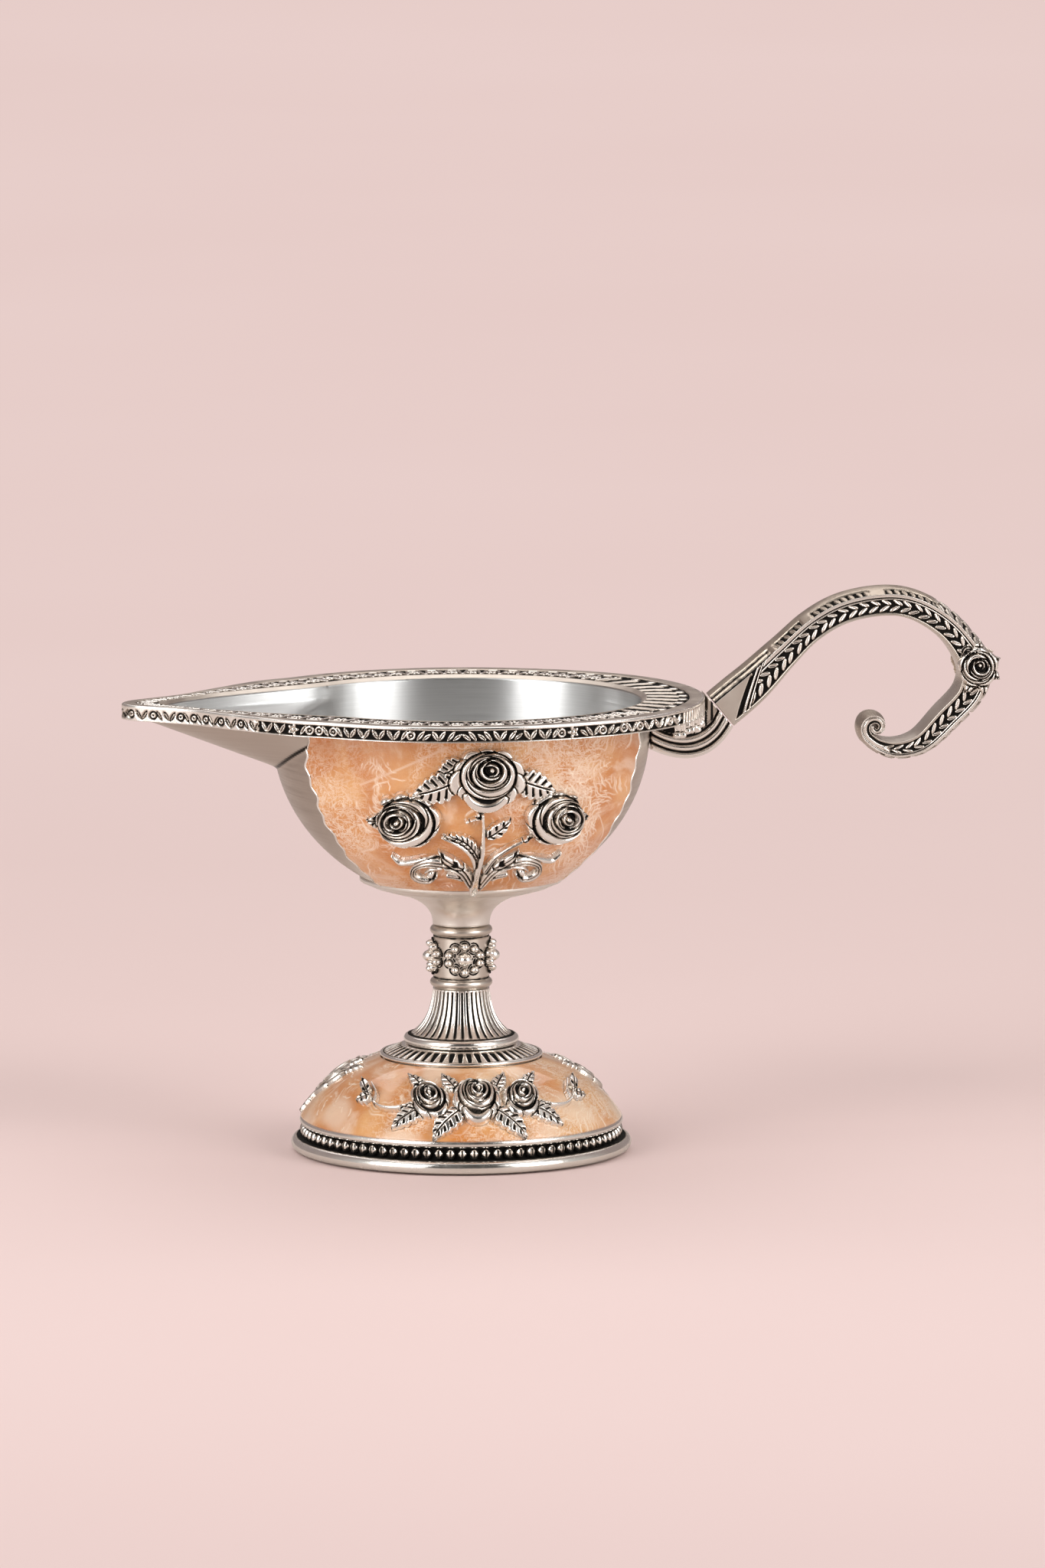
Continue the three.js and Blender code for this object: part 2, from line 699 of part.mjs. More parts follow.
const { lerp, smoothstep } = THREE.MathUtils;
const innerA = BOWL_A - BOWL_WALL;
const innerB = BOWL_B - BOWL_WALL;

// Half of the opening's outline, from the handle end to the tip of the spout
function openingHalf(roundSteps, spoutSteps) {
  const line = [];
  const last = Math.acos(-SPOUT_ROOT / innerA);
  for (let i = 0; i <= roundSteps; i += 1) {
    const angle = (last * i) / roundSteps;
    line.push(new THREE.Vector2(innerA * Math.cos(angle), innerB * Math.sin(angle)));
  }
  for (let i = 1; i <= spoutSteps; i += 1) {
    const t = (1 - i / spoutSteps) ** 1.5;
    const x = -innerTip + (innerTip - SPOUT_ROOT) * t;
    line.push(new THREE.Vector2(x, spoutHalf(x, innerA, innerB, innerTip)));
  }
  return line;
}

function rimWidth(x) {
  const waist = lerp(RIM_SIDE_W, RIM_SPOUT_W, smoothstep(-x, SPOUT_ROOT + 4, SPOUT_ROOT * 2));
  const tip = lerp(waist, RIM_TIP_W, smoothstep(-x, SPOUT_ROOT * 2, innerTip));
  return lerp(tip, RIM_END_W, smoothstep(x, innerA / 3, innerA));
}

function rimBorder() {
  const half = openingHalf(13, 9);
  const mirrored = half.slice(1, -1).reverse().map((p) => new THREE.Vector2(p.x, -p.y));
  const line = [...half, ...mirrored];
  const rings = line.map((p, i) => {
    const before = line[(i + line.length - 1) % line.length];
    const after = line[(i + 1) % line.length];
    const along = after.clone().sub(before).normalize();
    const out = new THREE.Vector2(along.y, -along.x);
    const width = rimWidth(p.x);
    const lip = Math.min(RIM_LIP_W, width / 2);
    const at = (reach, z) => new THREE.Vector3(p.x + out.x * reach, p.y + out.y * reach, z);
    return [
      at(0, rimZ),
      at(width, rimZ),
      at(width, rimTop - RIM_EDGE),
      at(width - RIM_EDGE, rimTop),
      at(lip, rimTop),
      at(0, rimTop - RIM_LIP_DROP),
    ];
  });
  return skin(rings, { endless: true });
}

place('rim_border', rimBorder(), silver);

// Enamel panels and rose sprays on the two sides of the bowl

const panelFoot = seatTop + PANEL_FOOT_UP;
const panelTop = bowlTopZ - FIT;
const panelHigh = panelTop - panelFoot;

// Half width of the spout's underside at (x, z)
function spoutFlank(x, z) {
  const t = (x + SPOUT_REACH) / (SPOUT_REACH - SPOUT_ROOT);
  const sunk = (bowlTopZ - z) / (SPOUT_DROP * t);
  if (t > 1 || sunk > 1) return 0;
  return spoutHalf(x, BOWL_A, BOWL_B, SPOUT_REACH) * (1 - sunk) ** (1 / SPOUT_ROUND);
}

// Half width of the bowl's wall at (x, z), with the spout
function wallHalf(x, z) {
  const long = ellipseAt(z, BOWL_A, BOWL_C);
  const round = squashAt(z, BOWL_A, BOWL_B) * Math.sqrt(Math.max(long ** 2 - x ** 2, 0));
  return Math.max(round, spoutFlank(x, z));
}

// Point of the bowl's front wall at (x, z), raised along the wall's normal
function onBowl(x, z, height) {
  const tiny = 0.01;
  const slopeX = (wallHalf(x + tiny, z) - wallHalf(x - tiny, z)) / (2 * tiny);
  const slopeZ = (wallHalf(x, z + tiny) - wallHalf(x, z - tiny)) / (2 * tiny);
  const normal = new THREE.Vector3(-slopeX, -1, -slopeZ).normalize();
  return new THREE.Vector3(x, -wallHalf(x, z), z).addScaledVector(normal, height);
}

function panelFace(height) {
  return (u, v) => {
    const z = panelFoot + panelHigh * v ** 1.25;
    const left = lerp(PANEL_FOOT_HALF, PANEL_TO_SPOUT, v);
    const right = lerp(PANEL_FOOT_HALF, PANEL_TO_HANDLE, v);
    const angle = lerp(-left, right, u) * THREE.MathUtils.DEG2RAD;
    return onBowl(ellipseAt(z, BOWL_A, BOWL_C) * Math.sin(angle), z, height);
  };
}

const SPRAY_BASE = LAID_FIT + ENAMEL_THICK + LAID_FIT;
const sprayScale = panelHigh / SPRAY_H;

function bowlGround(across, up, height) {
  return onBowl(across * sprayScale, panelFoot + up * sprayScale, SPRAY_BASE + height);
}

function centreRose() {
  return joined([
    rose(bowlGround, 0.5, 22.8, 7.2, 6.2, 2.8),
    leaf(bowlGround, [-5.4, 22.4], [-12.6, 20.2], 4.6, RELIEF),
    leaf(bowlGround, [-4.8, 25.6], [-8.8, 24.4], 4.4, RELIEF),
    leaf(bowlGround, [6.6, 22.6], [13.8, 20.3], 4.6, RELIEF),
  ]);
}

function sideRose(side) {
  return joined([
    rose(bowlGround, side * 13.4, 14.8, 5.6, 5, 2.4),
    leaf(bowlGround, [side * 17.8, 14.6], [side * 20.6, 14.8], 3.2, RELIEF),
  ]);
}

function branch() {
  const pieces = [
    stem(bowlGround, [[0, 0.4], [0, 15.8]], 1.6, 0.9, 5, RELIEF),
    leaf(bowlGround, [0.2, 11.8], [4.6, 15.2], 2.6, RELIEF / 2),
  ];
  for (const side of [-1, 1]) {
    const mirror = (points) => points.map(([a, b]) => [side * a, b]);
    pieces.push(stem(bowlGround, mirror([[0.5, 6], [3.6, 10], [7.4, 11.8]]), 1.6, 1, 4, RELIEF));
    pieces.push(stem(bowlGround, mirror([
      [0.5, 1.4], [3.2, 5.2], [7.2, 7.2], [10.6, 6.4], [11, 4.2], [9.2, 3], [8.2, 4.4],
    ]), 1.5, 1, 8, RELIEF));
    pieces.push(stem(bowlGround, mirror([[8.4, 7], [11.6, 6.6], [15.6, 7.6]]), 1.2, 0.4, 2, RELIEF));
    pieces.push(leaf(bowlGround, [side * 2.6, 4.8], [side * 7.8, 9.2], 2, RELIEF / 2));
    pieces.push(leaf(bowlGround, [side * 0.5, 1], [side * 5.4, 4], 1.4, RELIEF / 2));
  }
  return joined(pieces);
}

// The back is the front mirrored
for (const [name, side] of [['front', 1], ['back', -1]]) {
  const onSide = (geometry) => geometry.scale(1, side, 1);
  const panel = sheet(panelFace(LAID_FIT + ENAMEL_THICK), panelFace(LAID_FIT), 10, 6);
  place(`bowl_enamel_${name}`, onSide(panel), enamel);
  place(`${name}_rose_centre`, onSide(centreRose()), silver);
  place(`${name}_rose_left`, onSide(sideRose(-1)), silver);
  place(`${name}_rose_right`, onSide(sideRose(1)), silver);
  place(`${name}_branch`, onSide(branch()), silver);
}

// Handle: a strap swept along an S, from its slanted root to a volute. Its spine is measured from
// the rim's top edge at the handle end.

const BEND = [51.5, 4.1]; // the stop where the roses sit
const spineStops = [
  [3.3, -3.3], [9.4, 1.8], [15, 7.4], [20.4, 12.4], [26.2, 15.6], [33.6, 17], [38.7, 16.5],
  [43.9, 14], [48.1, 10.2], BEND, [50.6, -0.4], [46.3, -5.2], [41.1, -10], [36.5, -11.1],
  [32.6, -9.6],
];
const spine = new THREE.CatmullRomCurve3(
  spineStops.map(([x, z]) => new THREE.Vector3(rimEndX + x, 0, rimTop + z)),
);
const SPINE_STEPS = 28;

// Distance along the spine's inner normal: the spine turns clockwise seen from the front
function spineFrame(t) {
  const at = spine.getPointAt(t);
  const along = spine.getTangentAt(t);
  return { at, out: new THREE.Vector3(-along.z, 0, along.x) };
}

function strapScale(t) {
  const root = lerp(HANDLE_ROOT_SCALE, 1, smoothstep(t, 0, 0.16));
  return lerp(root, HANDLE_END_SCALE, smoothstep(t, 0.8, 1));
}

function handle() {
  const rings = [];
  for (let i = 0; i <= SPINE_STEPS; i += 1) {
    const t = i / SPINE_STEPS;
    const { at, out } = spineFrame(t);
    const scale = strapScale(t);
    const half = lerp(HANDLE_W, VOLUTE_W, smoothstep(t, 0.7, 1)) / 2;
    const point = (reach, y) => at.clone().addScaledVector(out, reach * scale).setY(y);
    rings.push([
      point(HANDLE_SIDE, -half),
      point((HANDLE_SIDE + 2 * HANDLE_CROWN) / 3, -half / 2),
      point(HANDLE_CROWN, 0),
      point((HANDLE_SIDE + 2 * HANDLE_CROWN) / 3, half / 2),
      point(HANDLE_SIDE, half),
      point(-HANDLE_SIDE, half),
      point(-HANDLE_BELLY, 0),
      point(-HANDLE_SIDE, -half),
    ]);
  }
  const end = spineFrame(1);
  const centre = end.at.clone().addScaledVector(end.out, HANDLE_CROWN * HANDLE_END_SCALE - VOLUTE_R);
  const volute = new THREE.CylinderGeometry(VOLUTE_R, VOLUTE_R, VOLUTE_W + SEAT, 20)
    .translate(centre.x, 0, centre.z);
  return joined([skin(rings), volute]);
}

place('handle', handle(), silver);

const bend = new THREE.Vector2(rimEndX + BEND[0], rimTop + BEND[1]);
for (const [name, side] of [['front', 1], ['back', -1]]) {
  const ground = (across, up, height) => new THREE.Vector3(
    bend.x + across,
    -side * (HANDLE_W / 2 + FIT + height),
    bend.y + up,
  );
  const bloom = rose(
    ground, HANDLE_ROSE_OUT, HANDLE_ROSE_UP, HANDLE_ROSE_R, HANDLE_ROSE_R, HANDLE_ROSE_H,
  );
  place(`handle_rose_${name}`, bloom, silver);
}

// Bracket: a ridged crescent under the rim, with a tongue beside the rim that meets the handle

function bracket() {
  const { at, out } = spineFrame(0);
  const ahead = spine.getTangentAt(0);
  const root = at.clone().addScaledVector(ahead, -FIT);
  const low = root.clone().addScaledVector(out, -HANDLE_SIDE * HANDLE_ROOT_SCALE - BRACKET_STEP);
  const tongueX = rimEndX + FIT;
  const high = root.clone().addScaledVector(out, (tongueX - root.x) / out.x);
  const layers = [];
  for (let i = 0; i < BRACKET_RIDGES; i += 1) {
    const lift = i * BRACKET_STEP;
    const wallX = BOWL_A - BOWL_WALL;
    const tip = low.clone().addScaledVector(out, lift);
    const shape = new THREE.Shape();
    shape.moveTo(wallX, rimZ - SEAT);
    shape.lineTo(tongueX, rimZ - SEAT);
    shape.lineTo(tongueX, high.z);
    shape.lineTo(tip.x, tip.z);
    shape.quadraticCurveTo(
      rimEndX,
      rimZ - BRACKET_DEPTH * 1.35 + lift,
      wallX,
      rimZ - BRACKET_DEPTH * 0.8 + lift,
    );
    const depth = HANDLE_W - 2 * BRACKET_RELIEF * (BRACKET_RIDGES - 1 - i);
    layers.push(
      new THREE.ExtrudeGeometry(shape, { depth, bevelEnabled: false, curveSegments: 10 })
        .translate(0, 0, -depth / 2).rotateX(Math.PI / 2),
    );
  }
  const room = solid(bowlBlank(FIT, bowlBaseZ, bowlTopZ + FIT));
  return shapeOf(solid(joined(layers)).subtract(room));
}

place('handle_bracket', bracket(), silver);

export default lamp;
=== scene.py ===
import bpy
import numpy as np
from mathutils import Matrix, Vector

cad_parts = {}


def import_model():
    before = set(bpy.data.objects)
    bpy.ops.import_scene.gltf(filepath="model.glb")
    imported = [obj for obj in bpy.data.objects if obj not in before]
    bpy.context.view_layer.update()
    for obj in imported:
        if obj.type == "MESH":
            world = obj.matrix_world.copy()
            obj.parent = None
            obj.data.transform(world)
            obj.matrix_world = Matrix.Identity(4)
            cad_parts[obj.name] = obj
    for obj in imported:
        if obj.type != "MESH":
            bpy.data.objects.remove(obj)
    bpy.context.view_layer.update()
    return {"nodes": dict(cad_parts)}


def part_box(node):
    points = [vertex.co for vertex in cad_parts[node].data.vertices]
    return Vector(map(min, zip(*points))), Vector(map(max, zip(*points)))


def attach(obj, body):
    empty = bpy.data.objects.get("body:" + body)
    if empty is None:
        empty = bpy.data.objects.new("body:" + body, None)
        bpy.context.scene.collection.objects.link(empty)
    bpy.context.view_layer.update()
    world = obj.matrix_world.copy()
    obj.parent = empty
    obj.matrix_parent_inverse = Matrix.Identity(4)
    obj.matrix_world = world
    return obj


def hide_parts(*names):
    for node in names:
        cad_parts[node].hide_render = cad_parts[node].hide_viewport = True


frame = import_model()

# Shapes are worked out in millimetres, in the frame's axes, and become metres in a mesh
MM = 0.001


def span(node):
    low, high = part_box(node)
    return np.array(low) / MM, np.array(high) / MM


# Sizes read from the frame
FOOT_LOW, FOOT_HIGH = span("foot")
LIP_LOW, LIP_HIGH = span("gadroon_ring")
CONE_LOW, CONE_HIGH = span("fluted_cone")
COLLAR_LOW, COLLAR_HIGH = span("stem_collar")
SEAT_LOW, SEAT_HIGH = span("bowl_seat")
BOWL_LOW, BOWL_HIGH = span("bowl")
RIM_LOW, RIM_HIGH = span("rim_border")
PAD_LOW, PAD_HIGH = span("base_pad")

# Foot
FOOT_R = FOOT_HIGH[1]
FOOT_HOLLOW = (25.5, 12.0)  # radius below and above
PAD_GAP = 0.3
ROLL_H = 2.4
COVE_R = 29.2
COVE_H = 2.4
RING_R = 30.6
RING_H = 1.4
DOME_EDGE = 0.2
DOME_TOP_R = 15.3
DOME_BULGE = 1.6
ENAMEL = 0.5
LAID = 0.4
BEADS = 84
BEAD_HALF = (0.84, 1.0, 1.1)  # across, out and up

# Stem
STEM_BORE = 2.3
LOBES = 48
LOBE_DEEP = 0.4
LOBE_TOP_R = 11.2
CONE_RING_H = 1.8
CONE_FOOT_R = 9.7
CONE_TOP_R = 5.05
CONE_FLARE = 3.2
FLUTES = 36
FLUTE_DEEP = 0.42
COLLAR_R = 5.3
COLLAR_RING_H = 2.0
NECK_R = 5.4
NECK_H = 6.0
DISH_R = 11.4
BERRIES = 10
BERRY_RING = (3.0, 2.45)
BERRY_R = 0.76
BERRY_HEART_R = 1.35

# Bowl
BOWL_A = 35.7
BOWL_B = 31.6
BOWL_C = 32.6
BOWL_BASE_H = 29.8
BOWL_WALL = 1.5
BOWL_FLOOR = 1.8
BOWL_LEAST_WALL = 0.4
BOWL_ROUND_H = 2.2
CREASE = 1.6
SHARP = 1e-6
SPOUT_TURN = 2.1
SOFT_COLUMNS = 10
SPOUT_ROOT = 24.0
SPOUT_DROP = 13.9
SPOUT_TIP_WALL = 3.5
SPOUT_KEEL_WALL = 1.6
SPOUT_NOSE = 0.68
SPOUT_ROUND = 1.7
SPOUT_REACH = 60.5

# Rim border
RIM_SIDE_W = 9.92
RIM_END_W = 11.9
RIM_SPOUT_W = 5.0
RIM_TIP_W = 8.4
RIM_LIP_W = 1.0
RIM_LIP_DROP = 0.7
RIM_COVER = 0.06
RIM_CUT = 0.35
NOSE_PINCH = 0.6
NOSE_BACK = 0.5
RIM_LINE = 0.3
RIM_PLAIN = 2.6
RIM_STEPS = 900
SIDE_CELL = 2.9
TOP_CELL = 4.2
FAN_STEP = 5.2
COMB_STEP = 1.25
CARVE = 0.5
BORDER_SHADE = 0.3
LIP_SHADE = 0.28
FRINGE_FROM = 4.0
FRINGE_TO = 24.0
FRINGE_STEP = 2.2
FRINGE_LONG = 2.4

# Enamel panels and sprays
PANEL_TO_SPOUT = 60.0
PANEL_TO_HANDLE = 61.0
PANEL_FOOT_HALF = 54.0
PANEL_FOOT_UP = 0.8
PANEL_TOP_DOWN = 0.3
SPRAY_H = 30.4
ARC_DRAWN = 19.6
SINK = 0.35
GAP = 0.28
GAP_DEEP = 0.5
LIP = 0.36
CELL = 0.1
RELIEF = 1.1
EDGE_WANDER = 1.2
STREAK = ((-22.0, 20.6), (-6.4, 28.3))
EDGING_R = 0.35
PANEL_WIDE = 62
MARKED = [((-20, 22), (3, 5)), ((21, 22), (3, 5)), ((-17, 15), (3, 5)), ((18, 14), (3, 5))]

# Handle
HANDLE_HALF = 4.75
VOLUTE_HALF = 4.2
HANDLE_CROWN = 2.98
HANDLE_SIDE = 1.8
HANDLE_INNER = 2.2
HANDLE_BELLY = 2.6
BEND_SWELL = 0.2
ROOT_SCALE = 1.4
CURL_R = 2.5
CURL_END_R = 0.5
CURL_TURN = 430
CURL_SCALE = 0.46
CURL_END_SCALE = 0.19
SIDE_CARVE = 0.5
LEAF_PITCH = 2.1
ROOT_BAND = (2.2, 11)
DASHES_FROM = 13
BRACKET_DEPTH = 9.3
BRACKET_STEP = 1.15
SPINE_STEPS = 620
BEND = (51.5, 4.1)
SPINE = [
    (3.3, -3.3), (9.4, 1.8), (15, 7.4), (20.4, 12.4), (26.2, 15.6), (33.6, 17), (38.7, 16.5),
    (43.9, 14), (48.1, 10.2), BEND, (50.6, -0.4), (46.3, -5.2), (41.1, -10), (36.5, -11.1),
    (32.9, -10.1), (30.9, -8.6),
]

# Colours
RUBBED = (0.97, 0.945, 0.91), (0.86, 0.80, 0.735)
PAINTED_TAN_REFLECTION = (0.50, 0.42, 0.345)
PATINA = (0.010, 0.009, 0.008)
BRUSHED = (0.78, 0.78, 0.775), (0.66, 0.66, 0.65)
OUTSIDE_PAINTED_REFLECTION = (0.66, 0.585, 0.52), (0.53, 0.46, 0.40)
CREASE_PAINTED_SHADE = (0.02, 0.017, 0.014)
ORANGE_AND_PEACH = (0.57, 0.21, 0.045), (0.72, 0.38, 0.15)
PEARL_WHITE = (0.93, 0.80, 0.645)
FELT_TONES = (0.09, 0.075, 0.06), (0.05, 0.04, 0.033)
STEEL_TONES = (0.42, 0.43, 0.45), (0.30, 0.31, 0.33)
BRASS_TONES = (0.62, 0.44, 0.16), (0.48, 0.33, 0.11)
FLOOR_TONES = (0.74, 0.56, 0.53), (0.78, 0.61, 0.585)
FLOOR_MIRRORED = (0.62, 0.53, 0.49)
SKY_TONES = (0.92, 0.90, 0.88), (0.56, 0.47, 0.45)
SKY_GAP = (0.06, 0.055, 0.05)

# View
FLOOR_HALF = 20
FLOOR_GLOW = 1.05
SKY_STRENGTH = 0.55
LIGHT_AIM = Vector((0, 0, 0.06))
VIEW_AZIMUTH = -7.0
VIEW_ELEVATION = 8.5
VIEW_FAR = 3.5
FRAME_HIGH = 297.0
AIM_RIGHT = 11.6
AIM_UP = 69.0
SENSOR = 36.0

# Heights and places that follow
ROLL_TOP = FOOT_LOW[2] + ROLL_H
COVE_TOP = ROLL_TOP + COVE_H
RING_TOP = COVE_TOP + RING_H
FOOT_TOP = FOOT_HIGH[2]
BOWL_BASE = BOWL_LOW[2]
BOWL_MID = BOWL_BASE + BOWL_BASE_H
BOWL_TOP = BOWL_HIGH[2]
RIM_Z = RIM_LOW[2]
RIM_TOP = RIM_HIGH[2]
RIM_H = RIM_TOP - RIM_Z
RIM_END_X = RIM_HIGH[0]
PANEL_FOOT = SEAT_HIGH[2] + PANEL_FOOT_UP
PANEL_HIGH = BOWL_TOP - PANEL_TOP_DOWN - PANEL_FOOT
BEND_AT = np.array(BEND) + [RIM_END_X, RIM_TOP]


# Arithmetic on arrays

def smoothstep(x, low, high):
    t = np.clip((x - low) / (high - low), 0, 1)
    return t * t * (3 - 2 * t)


def fade(x, low, high):
    return 1 - smoothstep(x, low, high)


def row(start, end, count):
    return np.linspace(start, end, count)[None, :]


def column(start, end, count):
    return np.linspace(start, end, count)[:, None]


def polar(r, angle, z):
    return np.stack(np.broadcast_arrays(r * np.cos(angle), r * np.sin(angle), z), axis=-1)


def unit(v):
    return v / np.linalg.norm(v, axis=-1, keepdims=True)


def lengths(line):
    """Way along a line at each of its points."""
    return np.concatenate([[0], np.cumsum(np.linalg.norm(np.diff(line, axis=0), axis=1))])


def oval(x, y, size):
    """Depth inside an ellipse."""
    return (1 - np.hypot(x / size[0], y / size[1])) * min(size)


def lerp(a, b, t):
    return a + (b - a) * t


def rounded(depth, radius):
    """Quarter circle: 0 at an edge, 1 at radius inside it."""
    return np.sqrt(1 - (1 - np.clip(depth / radius, 0, 1)) ** 2)


def scatter(index, salt):
    """Steady noise in 0 to 1 from whole numbers."""
    return np.mod(np.sin(index * 12.9898 + salt * 78.233) * 43758.5453, 1.0)


def blur(field, reach):
    """Mean over reach columns to each side, round a ring."""
    total = np.cumsum(np.pad(field, ((0, 0), (reach + 1, reach)), mode="wrap"), axis=1)
    return (total[:, 2 * reach + 1:] - total[:, :-2 * reach - 1]) / (2 * reach + 1)


def smooth_line(stops, steps):
    """Centripetal curve through the stops, with steps samples to each stretch."""
    p = np.asarray(stops, float)
    p = np.vstack([2 * p[0] - p[1], p, 2 * p[-1] - p[-2]])
    line = []
    for i in range(1, len(p) - 2):
        far = np.sqrt(np.linalg.norm(np.diff(p[i - 1:i + 3], axis=0), axis=1))
        t = np.concatenate([[0], np.cumsum(far)])
        x = np.linspace(t[1], t[2], steps, endpoint=False)[:, None]

        def mix(a, b, start, end):
            return (t[end] - x) / (t[end] - t[start]) * a + (x - t[start]) / (t[end] - t[start]) * b

        a = [mix(p[i - 1 + k], p[i + k], k, k + 1) for k in range(3)]
        b = [mix(a[k], a[k + 1], k, k + 2) for k in range(2)]
        line.append(mix(*b, 1, 2))
    return np.vstack(line + [p[-2:-1]])


def even_line(line, count):
    """The same line with evenly spaced points."""
    far = lengths(line)
    at = np.linspace(0, far[-1], count)
    return np.stack([np.interp(at, far, values) for values in line.T], axis=1)


# Meshes

def make(name, points, quads, material, shade):
    """Closed mesh from points in millimetres. It replaces the solid of the same name."""
    corners = points[quads]
    turn = np.cross(corners[:, 2] - corners[:, 0], corners[:, 3] - corners[:, 1])
    if (turn * corners.mean(axis=1)).sum() < 0:
        quads = quads[:, ::-1]
    mesh = bpy.data.meshes.new(f"{name}_fine")
    mesh.vertices.add(len(points))
    mesh.vertices.foreach_set("co", (points * MM).astype(np.float32).ravel())
    mesh.loops.add(quads.size)
    mesh.loops.foreach_set("vertex_index", np.ascontiguousarray(quads, np.int32).ravel())
    mesh.polygons.add(len(quads))
    mesh.polygons.foreach_set("loop_start", np.arange(0, quads.size, 4, dtype=np.int32))
    mesh.update(calc_edges=True)
    mesh.polygons.foreach_set("use_smooth", np.ones(len(quads), bool))
    field = mesh.attributes.new("shade", "FLOAT", "POINT")
    field.data.foreach_set("value", np.clip(shade, 0, 1).astype(np.float32).ravel())
    mesh.materials.append(material)
    mesh.validate()
    piece = bpy.data.objects.new(mesh.name, mesh)
    bpy.context.scene.collection.objects.link(piece)
    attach(piece, "root")
    if name in frame["nodes"]:
        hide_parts(name)
    return piece


def grid_quads(rows, columns, wrap_rows, wrap_columns):
    r = np.arange(rows if wrap_rows else rows - 1)[:, None]
    c = np.arange(columns if wrap_columns else columns - 1)[None, :]
    low, high = r * columns, (r + 1) % rows * columns
    after = (c + 1) % columns
    return np.stack([low + c, high + c, high + after, low + after], axis=-1).reshape(-1, 4)


def cap_quads(count):
    """Faces across a ring of an even number of points."""
    k = np.arange(count // 2 - 1)
    return np.stack([k, k + 1, count - 2 - k, count - 1 - k], axis=1)


def skin(name, grid, material, shade=0.0, ring=False):
    """Closed mesh over a grid whose rows close on themselves. Its ends meet in a ring or are capped."""
    rows, columns = grid.shape[:2]
    quads = [grid_quads(rows, columns, ring, True)]
    if not ring:
        cap = cap_quads(columns)
        quads += [cap, cap[:, ::-1] + (rows - 1) * columns]
    shade = np.broadcast_to(shade, (rows, columns)).reshape(-1)
    return make(name, grid.reshape(-1, 3), np.vstack(quads), material, shade)


def lathe(name, profile, sides, material, change=None, dark=0.0):
    """Ring turned about Z from a closed [radius, height] profile. change moves radius and height."""
    angle = np.linspace(0, 2 * np.pi, sides, endpoint=False)[:, None]
    r, z = (np.broadcast_to(values, (sides, len(profile))) for values in profile.T)
    shade = dark(angle, r, z) if callable(dark) else dark
    if change:
        r, z = change(angle, r, z)
    return skin(name, polar(r, angle, z), material, shade, True)


def straight(a, b, count):
    return lerp(np.asarray(a, float), np.asarray(b, float), column(0, 1, count))


def arc(middle, radius, start, end, count):
    angle = np.radians(np.linspace(start, end, count))
    return np.stack([middle[0] + radius * np.cos(angle), middle[1] + radius * np.sin(angle)], axis=1)


# Relief: layers painted on a flat sheet of (across, up), later laid on a curved ground

def join_corners(cells):
    """Flat mask of the cells. Where two touch only at a corner, the one beside them joins in."""
    for _ in range(3):
        a, b, c, d = cells[:-1, :-1], cells[:-1, 1:], cells[1:, :-1], cells[1:, 1:]
        fall = a & d & ~b & ~c
        rise = b & c & ~a & ~d
        b |= fall
        a |= rise
    return cells.ravel()


